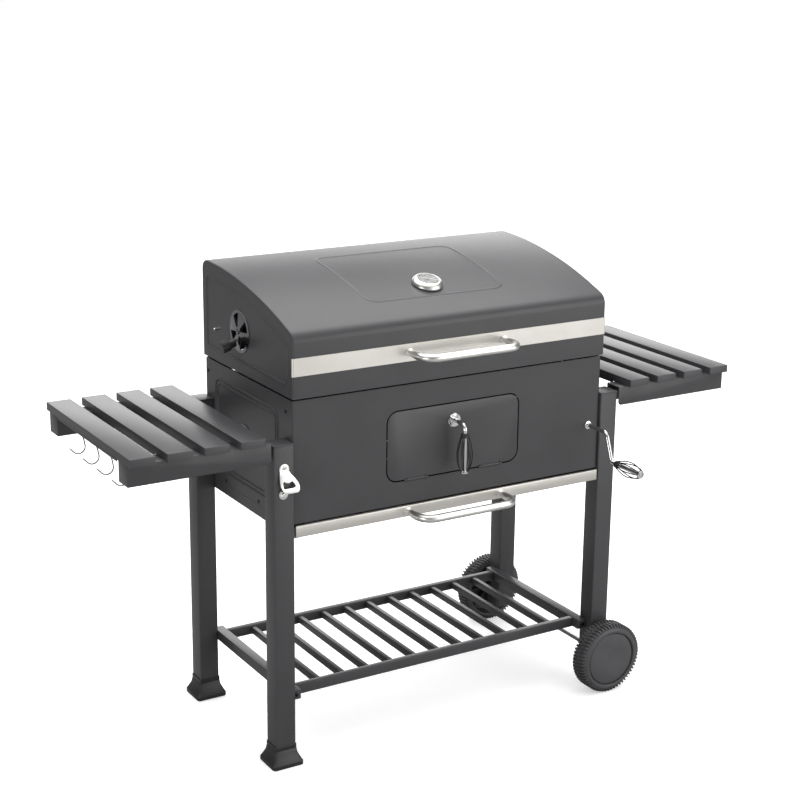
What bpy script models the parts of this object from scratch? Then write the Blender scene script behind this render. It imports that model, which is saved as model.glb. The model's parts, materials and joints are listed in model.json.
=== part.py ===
# Charcoal grill trolley with a hinged hood: every piece is its own object.
# Metres, +Z up, +X along the long side, the front faces -Y.
# The body is drawn about its own middle, then moved by the parent empty so
# that the origin is the bottom centre of the whole grill's box.
import math

import bmesh
import bpy
from mathutils import Matrix, Vector

# ---------------------------------------------------------------- sizes
GAP = 0.0003             # between pieces that touch
SHEET = 0.0015           # firebox and hood sheet
RUNNING = 0.0004         # radial room round a turning shaft or pin
MERGE = 0.00002          # points nearer than this are one
FLAT_ANGLE = math.radians(0.2)
SHARP_ANGLE = math.radians(30)

FIREBOX_WIDTH = 0.821
FIREBOX_DEPTH = 0.438
FIREBOX_BOTTOM = 0.567   # lower edge of the front panel
FIREBOX_TOP = 0.844

LEG_SIZE = 0.0475
LEG_PROUD = 0.007        # leg face in front of the firebox face
LEG_TOP = 0.7535
LEG_WALL = 0.0015
CAP_RIM = 0.001          # leg cap beyond the leg
CAP_THICK = 0.003
FOOT_TOP = 0.050
FOOT_FLARE = 0.014
FOOT_BAND = 0.012        # upright band at the foot's base
FOOT_COLLAR = 0.011
FOOT_PLUG = 0.012
WHEEL_LEG_BOTTOM = 0.058

WHEEL_RADIUS = 0.088
WHEEL_WIDTH = 0.050
WHEEL_FACE_RADIUS = 0.0765
HUB_CAP_RADIUS = 0.0648
WHEEL_STANDOFF_FRONT = 0.015   # leg face to wheel hub
WHEEL_STANDOFF_REAR = 0.004
AXLE_INSET = 0.006             # axle inward of the leg's middle
AXLE_RADIUS = 0.005
SPACER_RADIUS = 0.0085

SHELF_TOP = 0.168
SHELF_RAIL_HEIGHT = 0.023
SHELF_END_WIDTH = 0.025
SHELF_END_OVERRUN = 0.021    # leg face beyond the end of the end rail
SHELF_LONG_WIDTH = 0.015
SHELF_LONG_CENTRE = 0.176
SHELF_BARS = 11
SHELF_BAR_WIDTH = 0.012
SHELF_BAR_DROP = 0.003
SHELF_BAR_HEIGHT = 0.016
SHELF_WALL = 0.0015

HOOD_SEAM = 0.004
HOOD_SIDE_LAP = 0.0025   # hood beyond the firebox, each side
HOOD_FRONT_LAP = 0.0065
HOOD_FRONT_HEIGHT = 0.141
HOOD_BACK_HEIGHT = 0.2275
HOOD_CROWN_RADIUS = 1.15
HOOD_FRONT_BEND = 0.028
HOOD_BACK_BEND = 0.022
HOOD_END_INSET = 0.0008
TRIM_LOW = 0.051         # above the hood's lower edge
TRIM_HEIGHT = 0.040
TRIM_SHEET = 0.001
TRIM_RETURN = 0.004

HANDLE_SPAN = 0.250
HANDLE_STANDOFF = 0.072
HANDLE_RADIUS = 0.0092
HANDLE_BEND = 0.034

HINGE_INSET = 0.110          # firebox side to the middle of the hinge
HINGE_PIN_RADIUS = 0.0024
KNUCKLE_RADIUS = 0.005
KNUCKLE_LENGTH = 0.030
HINGE_EAR = 0.003
HINGE_LEAF_HEIGHT = 0.034

VENT_RADIUS = 0.0487
VENT_SECTORS = 4
VENT_SECTOR_ANGLE = 37.0     # degrees, less than half of the pitch
VENT_TURN = -24.0            # degrees, first window from straight up
VENT_HOLE_OUTER = 0.0412
VENT_HOLE_INNER = 0.0115
VENT_STANDOFF = 0.0010
VENT_SHEET = 0.0016
VENT_PIVOT_RADIUS = 0.0035
VENT_TAB_DROP = 0.0190       # tab's root below the disc's centre
VENT_TAB_SIDE = 0.0075       # tab to the rear of the disc's centre
VENT_TAB_FALL = 0.0068       # tab's end below its root
VENT_TAB_OUT = 0.009
VENT_TAB_HALF = 0.005
VENT_TAB_THICK = 0.0016
VENT_KNOB_TILT = 16.0        # degrees below level
VENT_COLLAR_RADIUS = 0.0100
VENT_COLLAR_LENGTH = 0.015
VENT_KNOB_RADIUS = 0.0135
VENT_KNOB_LENGTH = 0.019
HOOD_VENT_Y = 0.028
HOOD_VENT_RISE = 0.097       # above the hood's lower edge
FIREBOX_VENT_Y = 0.013
FIREBOX_VENT_DROP = 0.161    # below the firebox's top

DOOR_WIDTH = 0.350
DOOR_HEIGHT = 0.161
DOOR_BOTTOM = 0.6235
DOOR_CORNER = 0.026
DOOR_GAP = 0.0022
DOOR_BARREL_X = 0.100
DOOR_BARREL_LENGTH = 0.050
DOOR_BARREL_RADIUS = 0.0026
DOOR_PIN_RADIUS = 0.0012
DOOR_EYE = 0.006

LATCH_Z = 0.745
LATCH_STANDOFF = 0.045
LATCH_ROD_RADIUS = 0.005
LATCH_BEND = 0.014
LATCH_LENGTH = 0.114         # from the turning axis to the grip's end
LATCH_ROSETTE_RADIUS = 0.0165
LATCH_ROSETTE_THICK = 0.003
GRIP_LENGTH = 0.094
GRIP_END_RADIUS = 0.0085
GRIP_BULGE_RADIUS = 0.0192
GRIP_RING = 0.005
GRIP_WIRES = 6
GRIP_WIRE_RADIUS = 0.0012

CRANK_INSET = 0.0301         # firebox side to the shaft
CRANK_Z = 0.6775
CRANK_SHAFT_OUT = 0.072      # firebox face to the first bend
CRANK_ARM_DROP = 0.066
CRANK_ARM_LEAN = 0.0245
CRANK_GRIP_START = 0.016     # arm to the grip
CRANK_BEND = 0.016
CRANK_ROD_RADIUS = 0.005

GEAR_MODULE = 0.002
GEAR_TEETH = 12
GEAR_PRESSURE = 25.0         # degrees
GEAR_ADDENDUM = 0.0018
GEAR_DEDENDUM = 0.0025
GEAR_BACKLASH = 0.00015      # each flank
GEAR_WIDTH = 0.010
GEAR_INSET = 0.022           # firebox face to the pinion
RACK_TEETH_BELOW = 13
RACK_TEETH_ABOVE = 1
RACK_BACK = 0.006

TRAY_BOTTOM = 0.580
TRAY_HEIGHT = 0.045
TRAY_SIDE_ROOM = 0.011
TRAY_FRONT_ROOM = 0.014
TRAY_SLOTS = 9
TRAY_SLOT_WIDTH = 0.008

GRATE_TOP_DROP = 0.0200      # below the firebox's top
GRATE_THICK = 0.006
GRATE_ROOM = 0.008
GRATE_RODS = 14
GRATE_ROD_WIDTH = 0.005
LEDGE_WIDTH = 0.016

GUIDE_BOTTOM = 0.534
GUIDE_TOP = 0.5610
GUIDE_FLANGE = 0.020
SIDE_PANEL_BOTTOM = 0.5615
DRAWER_ROOM = 0.0008
DRAWER_HEIGHT = 0.0225
DRAWER_BACK_ROOM = 0.006
BAND_BOTTOM = 0.538
BAND_TOP = 0.5640
BAND_SIDE_GAP = 0.0040
BAND_DEPTH = 0.008

TABLE_LENGTH = 0.3317         # leg to the table's outer edge
TABLE_OVERHANG = 0.017       # slat ends beyond the arms
TABLE_TOP = 0.7798
SLATS = 4
SLAT_WIDTH = 0.0567
SLAT_PITCH = 0.0827
SLAT_HEIGHT = 0.0177
SLAT_WALL = 0.001
ARM_HEIGHT = 0.046
ARM_LEG_GAP = 0.006
FOLD_REACH = 0.020           # fold pin from the arm's inner end and lower edge
FOLD_CORNER = 0.009          # round lower corner of the arm, clear of the leg as it folds
FOLD_PIN_RADIUS = 0.004
FOLD_HEAD_RADIUS = 0.007
TONGUE_THICK = 0.004
TONGUE_HALF_HEIGHT = 0.008

HOOKS = 4
HOOK_PITCH = 0.083
HOOK_RADIUS = 0.0150
HOOK_WIRE_RADIUS = 0.0016
HOOK_SHANK_INSET = 0.0295    # from the table's outer edge
HOOK_LEAN = 0.0011           # bowl outward of the shank
HOOK_KNEE = (0.0078, 0.0425) # knee: inward of the shank, above the lowest point
HOOK_BOWL_END = -135.0       # degrees, where the bowl runs out into the tip
HOOK_TIP = (0.0211, 0.0152)  # tip: outward of and above the lowest point
HOOK_DROP = 0.0751           # slat underside to the hook's lowest point

THERMOMETER_Y = -0.094
THERMOMETER_RADIUS = 0.037
THERMOMETER_FACE_RADIUS = 0.0255
THERMOMETER_HEIGHT = 0.016
THERMOMETER_STEM_RADIUS = 0.004
THERMOMETER_STEM = 0.050

OPENER_TOP = 0.6992          # centre of the upper lug
OPENER_BOTTOM = 0.6425       # centre of the lower lug
OPENER_LUG = 0.0120
OPENER_LOW_LUG = 0.0105
OPENER_HOLE_UP = 0.0040      # upper screw above the lug's centre
OPENER_HOLE_DOWN = 0.0016    # lower screw below the lug's centre
OPENER_HOLE_RADIUS = 0.0025
OPENER_SHEET = 0.002
OPENER_KICK = 0.012
OPENER_FOLD = 0.6940         # where the plate leaves the leg
OPENER_LIP = 0.6470          # the plate's lower edge
# Plate and window outlines: x from the leg's middle, z above the lower edge.
OPENER_PLATE = [(-0.0115, 0.0475), (-0.0131, 0.036), (-0.0137, 0.0255), (-0.0125, 0.0165), (-0.0094, 0.008),
                (-0.0068, 0.0035), (-0.0030, 0.0005), (0.0240, 0), (0.0285, 0.0018), (0.0312, 0.0070),
                (0.0312, 0.0150), (0.0283, 0.0225), (0.0225, 0.0310), (0.0150, 0.0395), (0.0108, 0.0475)]
OPENER_WINDOW = [(-0.0050, 0.0108), (0.0185, 0.0112), (0.0222, 0.0140), (0.0218, 0.0172), (0.0150, 0.0262),
                 (0.0120, 0.0238), (0.0065, 0.0222), (0.0010, 0.0232), (-0.0040, 0.0268), (-0.0072, 0.0235),
                 (-0.0070, 0.0135)]

# ---------------------------------------------------------- worked out
half_width = FIREBOX_WIDTH / 2
half_depth = FIREBOX_DEPTH / 2
leg_inner = half_width + GAP
leg_outer = leg_inner + LEG_SIZE
leg_face = half_depth + LEG_PROUD
leg_back = leg_face - LEG_SIZE
leg_centre = (leg_inner + leg_outer) / 2

hood_half = half_width + HOOD_SIDE_LAP
hood_face = half_depth + HOOD_FRONT_LAP
hood_low = FIREBOX_TOP + HOOD_SEAM
hinge_x = half_width - HINGE_INSET
hinge_y = hood_face + KNUCKLE_RADIUS + 0.0006
hinge_z = hood_low + KNUCKLE_RADIUS

crank_x = half_width - CRANK_INSET
pitch_radius = GEAR_MODULE * GEAR_TEETH / 2
tooth_pitch = math.pi * GEAR_MODULE
pitch_line_x = crank_x - pitch_radius
rack_back_x = pitch_line_x - GEAR_DEDENDUM - RACK_BACK
lift_travel = 2 * math.pi * pitch_radius

table_face = leg_face + TABLE_OVERHANG
table_reach = leg_outer + TABLE_LENGTH
arm_top = TABLE_TOP - SLAT_HEIGHT - GAP
arm_low = arm_top - ARM_HEIGHT
arm_inner = leg_outer + ARM_LEG_GAP
fold_x = arm_inner + FOLD_REACH
fold_z = arm_low + FOLD_REACH

band_face = half_depth + GAP + BAND_DEPTH
axle_x = leg_centre - AXLE_INSET
wheel_inner_front = leg_face + WHEEL_STANDOFF_FRONT
wheel_inner_rear = leg_face + WHEEL_STANDOFF_REAR
wheel_outer_front = wheel_inner_front + WHEEL_WIDTH
wheel_outer_rear = wheel_inner_rear + WHEEL_WIDTH
grip_start_y = half_depth + CRANK_SHAFT_OUT + CRANK_ARM_LEAN + CRANK_GRIP_START
crank_reach = grip_start_y + GRIP_LENGTH
y_shift = (crank_reach - wheel_outer_rear) / 2

# ---------------------------------------------------------- materials
# sRGB 0 to 1, roughness, metallic
FINISHES = {
    "powder_coat": ((0.24, 0.24, 0.25), 0.48, 0.0),
    "black_enamel": ((0.10, 0.10, 0.10), 0.40, 0.0),
    "stainless": ((0.83, 0.82, 0.80), 0.30, 1.0),
    "chrome": ((0.90, 0.90, 0.90), 0.10, 1.0),
    "black_plastic": ((0.13, 0.13, 0.14), 0.55, 0.0),
    "galvanised": ((0.55, 0.56, 0.57), 0.45, 1.0),
    "wire_steel": ((0.20, 0.20, 0.20), 0.35, 1.0),
}


def clear_scene():
    for item in list(bpy.data.objects):
        bpy.data.objects.remove(item, do_unlink=True)


def finish(node, kind):
    """A material of the node's own, of one of the finishes."""
    colour, roughness, metallic = FINISHES[kind]
    material = bpy.data.materials.new(node + "_" + kind)
    material.use_nodes = True
    shader = material.node_tree.nodes["Principled BSDF"]
    shader.inputs["Base Color"].default_value = (*[c ** 2.2 for c in colour], 1.0)
    shader.inputs["Roughness"].default_value = roughness
    shader.inputs["Metallic"].default_value = metallic
    return material


# -------------------------------------------------------- basic shapes
def mesh_of(points, faces):
    """A closed mesh with its faces turned outwards."""
    bm = bmesh.new()
    verts = [bm.verts.new(p) for p in points]
    for face in faces:
        bm.faces.new([verts[i] for i in face])
    bmesh.ops.recalc_face_normals(bm, faces=bm.faces)
    mesh = bpy.data.meshes.new("shape")
    bm.to_mesh(mesh)
    bm.free()
    return mesh


def box(low, high):
    xs, ys, zs = zip(low, high)
    points = [(x, y, z) for x in xs for y in ys for z in zs]
    faces = [(0, 1, 3, 2), (4, 6, 7, 5), (0, 4, 5, 1), (2, 3, 7, 6), (0, 2, 6, 4), (1, 5, 7, 3)]
    return mesh_of(points, faces)


def prism(outline, axis, low, high):
    """An outline pushed along an axis; the outline's pairs are the other two axes in X, Y, Z order."""
    place = {"x": lambda a, b, d: (d, a, b), "y": lambda a, b, d: (a, d, b), "z": lambda a, b, d: (a, b, d)}[axis]
    count = len(outline)
    points = [place(a, b, d) for d in (low, high) for a, b in outline]
    faces = [tuple(range(count)), tuple(range(2 * count - 1, count - 1, -1))]
    for i in range(count):
        j = (i + 1) % count
        faces.append((i, j, count + j, count + i))
    return mesh_of(points, faces)


def arc(centre, radius, start, end, steps):
    """Points on an arc, angles in degrees, both ends included."""
    points = []
    for i in range(steps + 1):
        angle = math.radians(start + (end - start) * i / steps)
        points.append((centre[0] + radius * math.cos(angle), centre[1] + radius * math.sin(angle)))
    return points


def circle(centre, radius, steps):
    return arc(centre, radius, 0, 360, steps)[:-1]


def rounded_box_outline(low, high, radius, steps=5):
    (a0, b0), (a1, b1) = low, high
    return (arc((a1 - radius, b0 + radius), radius, -90, 0, steps)
            + arc((a1 - radius, b1 - radius), radius, 0, 90, steps)
            + arc((a0 + radius, b1 - radius), radius, 90, 180, steps)
            + arc((a0 + radius, b0 + radius), radius, 180, 270, steps))


def rod(start, end, radius, sides=16):
    """A straight round bar between two points."""
    return tube([Vector(start), Vector(end)], radius, sides)


def tube(path, radius, sides):
    """A round bar along a path of points, with flat ends."""
    count = len(path)
    tangents = []
    for i in range(count):
        before = path[max(i - 1, 0)]
        after = path[min(i + 1, count - 1)]
        tangents.append((after - before).normalized())
    side = tangents[0].orthogonal().normalized()
    points = []
    for i, centre in enumerate(path):
        if i:
            side = tangents[i - 1].rotation_difference(tangents[i]) @ side
        other = tangents[i].cross(side)
        for k in range(sides):
            angle = 2 * math.pi * (k + 0.5) / sides
            points.append(centre + radius * (math.cos(angle) * side + math.sin(angle) * other))
    faces = [tuple(range(sides)), tuple(range((count - 1) * sides, count * sides))]
    for i in range(count - 1):
        for k in range(sides):
            n = (k + 1) % sides
            faces.append((i * sides + k, i * sides + n, (i + 1) * sides + n, (i + 1) * sides + k))
    return mesh_of(points, faces)


def bent_path(corners, bends, steps=5):
    """A path through corners, each inner corner rounded to its bend radius."""
    corners = [Vector(c) for c in corners]
    path = [corners[0]]
    for i, radius in enumerate(bends, start=1):
        here = corners[i]
        back = (corners[i - 1] - here).normalized()
        on = (corners[i + 1] - here).normalized()
        half = back.angle(on) / 2
        reach = radius / math.tan(half)
        middle = here + (back + on).normalized() * (radius / math.sin(half))
        first = here + back * reach - middle
        last = here + on * reach - middle
        turn = first.rotation_difference(last)
        for k in range(steps + 1):
            part = Matrix.Rotation(turn.angle * k / steps, 3, turn.axis)
            path.append(middle + part @ first)
    path.append(corners[-1])
    return path


def turned(profile, axis, centre, steps=32):
    """A closed profile of (radius, distance along the axis) pairs, spun about the axis."""
    place = {
        "x": lambda r, a, d: (d, r * math.cos(a), r * math.sin(a)),
        "y": lambda r, a, d: (r * math.cos(a), d, r * math.sin(a)),
        "z": lambda r, a, d: (r * math.cos(a), r * math.sin(a), d),
    }[axis]
    bm = bmesh.new()
    rings = []
    for radius, distance in profile:
        turns = 1 if radius == 0 else steps
        ring = []
        for k in range(turns):
            point = Vector(place(radius, 2 * math.pi * k / steps, distance)) + Vector(centre)
            ring.append(bm.verts.new(point))
        rings.append(ring)
    for first, second in zip(rings, rings[1:] + rings[:1]):
        if len(first) == 1 and len(second) == 1:
            continue
        for k in range(steps):
            n = (k + 1) % steps
            corner = [first[k % len(first)], first[n % len(first)], second[n % len(second)], second[k % len(second)]]
            bm.faces.new(list(dict.fromkeys(corner)))
    bmesh.ops.recalc_face_normals(bm, faces=bm.faces)
    mesh = bpy.data.meshes.new("turned")
    bm.to_mesh(mesh)
    bm.free()
    return mesh


def mirrored(mesh, axis):
    """The same shape on the other side of the middle."""
    bm = bmesh.new()
    bm.from_mesh(mesh)
    scale = Vector((-1 if axis == "x" else 1, -1 if axis == "y" else 1, 1))
    bmesh.ops.scale(bm, vec=scale, verts=bm.verts)
    bmesh.ops.recalc_face_normals(bm, faces=bm.faces)
    copy = bpy.data.meshes.new("mirrored")
    bm.to_mesh(copy)
    bm.free()
    return copy


def open_box(low, high, wall, side):
    """A thin box with one side missing: side is bottom, top, left, right, front or back."""
    low, high = Vector(low), Vector(high)
    inner_low = low + Vector((wall, wall, wall))
    inner_high = high - Vector((wall, wall, wall))
    past = 0.01
    axis, at_low = {"left": (0, True), "right": (0, False), "front": (1, True), "back": (1, False),
                    "bottom": (2, True), "top": (2, False)}[side]
    if at_low:
        inner_low[axis] = low[axis] - past
    else:
        inner_high[axis] = high[axis] + past
    return [box(low, high)], [box(inner_low, inner_high)]


# ------------------------------------------------------------ assembly
clear_scene()
origin = bpy.data.objects.new("grill_origin", None)
origin.location = (0, y_shift, 0)
bpy.context.collection.objects.link(origin)


def joined(pieces, cuts):
    """One mesh: the pieces joined, then the cuts taken out."""
    body = bpy.data.objects.new("body", pieces[0])
    bpy.context.collection.objects.link(body)
    helpers = []
    for operation, shapes in (("UNION", pieces[1:]), ("DIFFERENCE", cuts)):
        for shape in shapes:
            helper = bpy.data.objects.new("helper", shape)
            bpy.context.collection.objects.link(helper)
            helpers.append(helper)
            modifier = body.modifiers.new("join", "BOOLEAN")
            modifier.operation = operation
            modifier.solver = "EXACT"
            modifier.object = helper
    graph = bpy.context.evaluated_depsgraph_get()
    mesh = bpy.data.meshes.new_from_object(body.evaluated_get(graph))
    for helper in helpers + [body]:
        bpy.data.objects.remove(helper, do_unlink=True)
    bm = bmesh.new()
    bm.from_mesh(mesh)
    bmesh.ops.remove_doubles(bm, verts=bm.verts, dist=MERGE)
    bmesh.ops.dissolve_limit(bm, angle_limit=FLAT_ANGLE, verts=bm.verts, edges=bm.edges)
    bmesh.ops.triangulate(bm, faces=bm.faces)
    bm.to_mesh(mesh)
    bm.free()
    return mesh


def add(name, kind, pieces, cuts=(), pivot=(0, 0, 0)):
    """One node, its origin at the pivot."""
    mesh = joined(pieces, cuts)
    mesh.name = name
    mesh.transform(Matrix.Translation(-Vector(pivot)))
    mesh.materials.clear()
    mesh.materials.append(finish(name, kind))
    mesh.shade_smooth()
    mesh.set_sharp_from_angle(angle=SHARP_ANGLE)
    body = bpy.data.objects.new(name, mesh)
    bpy.context.collection.objects.link(body)
    body.location = pivot
    body.parent = origin
    return body


def add_pair(names, kind, pieces, cuts, axis, pivot=(0, 0, 0)):
    """The piece as given, and its mirror image on the other side."""
    low = add(names[0], kind, [m.copy() for m in pieces], [m.copy() for m in cuts], pivot)
    other = [-p if a == axis else p for a, p in zip("xyz", pivot)]
    high = add(names[1], kind, [mirrored(m, axis) for m in pieces], [mirrored(m, axis) for m in cuts], other)
    return low, high


# ---------------------------------------------------------- the stand
def leg(side, end, bottom):
    """side -1 left or 1 right, end -1 front or 1 rear; a capped tube with the table's hinge tongue."""
    xs = sorted((side * leg_inner, side * leg_outer))
    ys = sorted((end * leg_back, end * leg_face))
    low = (xs[0], ys[0], bottom)
    high = (xs[1], ys[1], LEG_TOP - CAP_THICK / 2)
    pieces, cuts = open_box(low, high, LEG_WALL, "bottom")
    # The cap keeps clear of the firebox, so its rim stands out on three sides only.
    cap_x = sorted((side * leg_inner, side * (leg_outer + CAP_RIM)))
    pieces.append(box((cap_x[0], ys[0] - CAP_RIM, LEG_TOP - CAP_THICK), (cap_x[1], ys[1] + CAP_RIM, LEG_TOP)))
    wall_y = end * (leg_back + SHEET)
    tongue_near = wall_y + end * 0.002
    tongue_far = tongue_near + end * TONGUE_THICK
    tongue_y = sorted((tongue_near, tongue_far))
    tongue_x = sorted((side * (leg_outer - LEG_WALL / 2), side * (fold_x + TONGUE_HALF_HEIGHT)))
    pieces.append(box((tongue_x[0], tongue_y[0], fold_z - TONGUE_HALF_HEIGHT),
                      (tongue_x[1], tongue_y[1], fold_z + TONGUE_HALF_HEIGHT)))
    pin_end = end * (leg_back - 0.001)
    head_end = pin_end - end * 0.003
    pieces.append(rod((side * fold_x, tongue_near + end * 0.001, fold_z), (side * fold_x, pin_end - end * 0.001, fold_z),
                      FOLD_PIN_RADIUS))
    pieces.append(rod((side * fold_x, pin_end, fold_z), (side * fold_x, head_end, fold_z), FOLD_HEAD_RADIUS))
    return pieces, cuts


def foot(end):
    """Flared plastic foot with a collar round the leg and a plug inside it."""
    centre_x = -leg_centre
    centre_y = end * (leg_face + leg_back) / 2
    half = LEG_SIZE / 2
    plug = half - LEG_WALL - GAP
    base = half + FOOT_FLARE
    rise = (FOOT_TOP - FOOT_COLLAR - FOOT_BAND) / 3
    levels = [(base, 0), (base, FOOT_BAND), (base - FOOT_FLARE * 0.45, FOOT_BAND + rise),
              (base - FOOT_FLARE * 0.75, FOOT_BAND + 2 * rise), (half + 0.0015, FOOT_TOP - FOOT_COLLAR),
              (half + 0.002, FOOT_TOP - FOOT_COLLAR), (half + 0.002, FOOT_TOP), (half + GAP, FOOT_TOP),
              (half + GAP, FOOT_TOP - 0.006), (plug, FOOT_TOP - 0.006), (plug, FOOT_TOP + FOOT_PLUG)]
    points = []
    for size, z in levels:
        for sx, sy in ((-1, -1), (1, -1), (1, 1), (-1, 1)):
            points.append((centre_x + sx * size, centre_y + sy * size, z))
    faces = [(0, 1, 2, 3), tuple(range(len(points) - 4, len(points)))]
    for i in range(len(levels) - 1):
        for k in range(4):
            n = (k + 1) % 4
            faces.append((4 * i + k, 4 * i + n, 4 * i + 4 + n, 4 * i + 4 + k))
    return [mesh_of(points, faces)], []


foot_joint = FOOT_TOP - 0.006 + GAP   # where the tube stands in the foot's seat
for end, where in ((-1, "front"), (1, "rear")):
    pieces, cuts = leg(-1, end, foot_joint)
    add("leg_" + where + "_left", "powder_coat", pieces, cuts)
    pieces, cuts = leg(1, end, WHEEL_LEG_BOTTOM)
    cuts.append(rod((axle_x, end * (leg_back - 0.01), WHEEL_RADIUS), (axle_x, end * (leg_face + 0.01), WHEEL_RADIUS),
                    AXLE_RADIUS + RUNNING))
    add("leg_" + where + "_right", "powder_coat", pieces, cuts)
    pieces, cuts = foot(end)
    add("foot_" + where, "black_plastic", pieces, cuts)

# Shelf: two end rails against the legs, and a welded grid between them.
end_inner = leg_inner - GAP - SHELF_END_WIDTH
pieces, cuts = open_box((-leg_inner + GAP, -leg_face + SHELF_END_OVERRUN, SHELF_TOP - SHELF_RAIL_HEIGHT),
                        (-end_inner, leg_face - SHELF_END_OVERRUN, SHELF_TOP), SHELF_WALL, "bottom")
add_pair(("shelf_end_left", "shelf_end_right"), "powder_coat", pieces, cuts, "x")

grid_half = end_inner - GAP
long_outer = SHELF_LONG_CENTRE + SHELF_LONG_WIDTH / 2
long_inner = SHELF_LONG_CENTRE - SHELF_LONG_WIDTH / 2
grid, hollow = [], []
for side in (-1, 1):
    ys = sorted((side * long_inner, side * long_outer))
    pieces, cuts = open_box((-grid_half, ys[0], SHELF_TOP - SHELF_RAIL_HEIGHT), (grid_half, ys[1], SHELF_TOP),
                            SHELF_WALL, "bottom")
    grid += pieces
    hollow += cuts
bar_pitch = 2 * end_inner / (SHELF_BARS + 1)
for i in range(SHELF_BARS):
    x = (i - (SHELF_BARS - 1) / 2) * bar_pitch
    half = SHELF_BAR_WIDTH / 2
    top = SHELF_TOP - SHELF_BAR_DROP
    grid.append(box((x - half, -long_inner - SHELF_WALL / 2, top - SHELF_BAR_HEIGHT),
                    (x + half, long_inner + SHELF_WALL / 2, top)))
    hollow.append(box((x - half + SHELF_WALL, -long_inner + SHELF_WALL, top - SHELF_BAR_HEIGHT - 0.01),
                      (x + half - SHELF_WALL, long_inner - SHELF_WALL, top - SHELF_WALL)))
add("shelf_grid", "powder_coat", grid, hollow)

# Axle through the two right legs, with a spacer collar outside each.
axle_short = 0.014       # shaft's end inside the wheel's outer face
axle = [rod((axle_x, -wheel_outer_front + axle_short, WHEEL_RADIUS), (axle_x, wheel_outer_rear - axle_short, WHEEL_RADIUS),
            AXLE_RADIUS)]
for side, hub in ((-1, wheel_inner_front), (1, wheel_inner_rear)):
    axle.append(rod((axle_x, side * (leg_face + GAP), WHEEL_RADIUS),
                    (axle_x, side * (hub - 2 * GAP), WHEEL_RADIUS), SPACER_RADIUS))
add("axle", "galvanised", axle)

# Wheel profile: radius and depth from the outer face; the back is a dish round a hub.
crown = WHEEL_RADIUS
wheel_profile = [
    (0, 0.002), (HUB_CAP_RADIUS, 0.002), (HUB_CAP_RADIUS + 0.0015, 0.004), (HUB_CAP_RADIUS + 0.003, 0.0015),
    (WHEEL_FACE_RADIUS - 0.003, 0), (WHEEL_FACE_RADIUS, 0.002), (crown - 0.005, 0.007), (crown - 0.0015, 0.015),
    (crown, 0.5 * WHEEL_WIDTH), (crown - 0.0015, WHEEL_WIDTH - 0.015), (crown - 0.005, WHEEL_WIDTH - 0.007),
    (WHEEL_FACE_RADIUS, WHEEL_WIDTH - 0.002), (WHEEL_FACE_RADIUS - 0.006, WHEEL_WIDTH - 0.002),
    (WHEEL_FACE_RADIUS - 0.012, 0.012), (0.016, 0.008), (0.013, WHEEL_WIDTH),
    (AXLE_RADIUS + RUNNING, WHEEL_WIDTH), (AXLE_RADIUS + RUNNING, 0.012), (0, 0.012)]
for side, outer, where in ((-1, wheel_outer_front, "front"), (1, wheel_outer_rear, "rear")):
    wheel = turned([(r, side * (outer - d)) for r, d in wheel_profile], "y", (axle_x, 0, WHEEL_RADIUS), 32)
    add("wheel_" + where, "black_plastic", [wheel], [], (axle_x, side * outer, WHEEL_RADIUS))


# -------------------------------------------------------- the firebox
def vent_windows(x_low, x_high, centre_y, centre_z):
    """The pie-shaped air holes round a vent's pivot."""
    windows = []
    for i in range(VENT_SECTORS):
        middle = 90 + VENT_TURN + i * 360 / VENT_SECTORS
        low, high = middle - VENT_SECTOR_ANGLE / 2, middle + VENT_SECTOR_ANGLE / 2
        outline = arc((centre_y, centre_z), VENT_HOLE_OUTER, low, high, 4)
        outline += arc((centre_y, centre_z), VENT_HOLE_INNER, high, low, 2)
        windows.append(prism(outline, "x", x_low, x_high))
    return windows


def vent_disc(face_x, centre_y, centre_z):
    """Left-hand vent: disc outside the face, pivot pin through it, tab and knob."""
    near = face_x - VENT_STANDOFF
    far = near - VENT_SHEET
    middle = (0, centre_y, centre_z)
    disc = prism(circle((centre_y, centre_z), VENT_RADIUS, 32), "x", far, near)
    pin = turned([(0, far - 0.003), (0.006, far - 0.003), (0.006, far + VENT_SHEET / 2),
                  (VENT_PIVOT_RADIUS, far + VENT_SHEET / 2), (VENT_PIVOT_RADIUS, face_x + SHEET + 0.003),
                  (0, face_x + SHEET + 0.003)], "x", middle, 16)
    tilt = math.radians(VENT_KNOB_TILT)
    out = Vector((-math.cos(tilt), 0, -math.sin(tilt)))
    tab_y = centre_y + VENT_TAB_SIDE
    tab_root = Vector((far + VENT_TAB_THICK / 2, tab_y, centre_z - VENT_TAB_DROP))
    tab_end = Vector((far - VENT_TAB_OUT, tab_y, centre_z - VENT_TAB_DROP - VENT_TAB_FALL))
    across = Vector((0, VENT_TAB_HALF, 0))
    thick = Vector((0, 0, VENT_TAB_THICK / 2))
    points = []
    for centre in (tab_root, tab_end):
        points += [centre - across - thick, centre + across - thick, centre + across + thick, centre - across + thick]
    tab = mesh_of(points, [(0, 1, 2, 3), (4, 5, 6, 7), (0, 1, 5, 4), (1, 2, 6, 5), (2, 3, 7, 6), (3, 0, 4, 7)])
    collar_start = tab_end - out * VENT_TAB_THICK
    collar_end = collar_start + out * VENT_COLLAR_LENGTH
    collar = tube([collar_start, collar_end], VENT_COLLAR_RADIUS, 16)
    knob = tube([collar_end - out * VENT_TAB_THICK, collar_end + out * VENT_KNOB_LENGTH], VENT_KNOB_RADIUS, 16)
    return [disc, pin, tab, collar, knob], vent_windows(far - 0.0005, near + 0.0005, centre_y, centre_z)


ledge_z = FIREBOX_TOP - GRATE_TOP_DROP - GRATE_THICK - GAP - SHEET
panel_in = half_depth - SHEET


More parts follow.
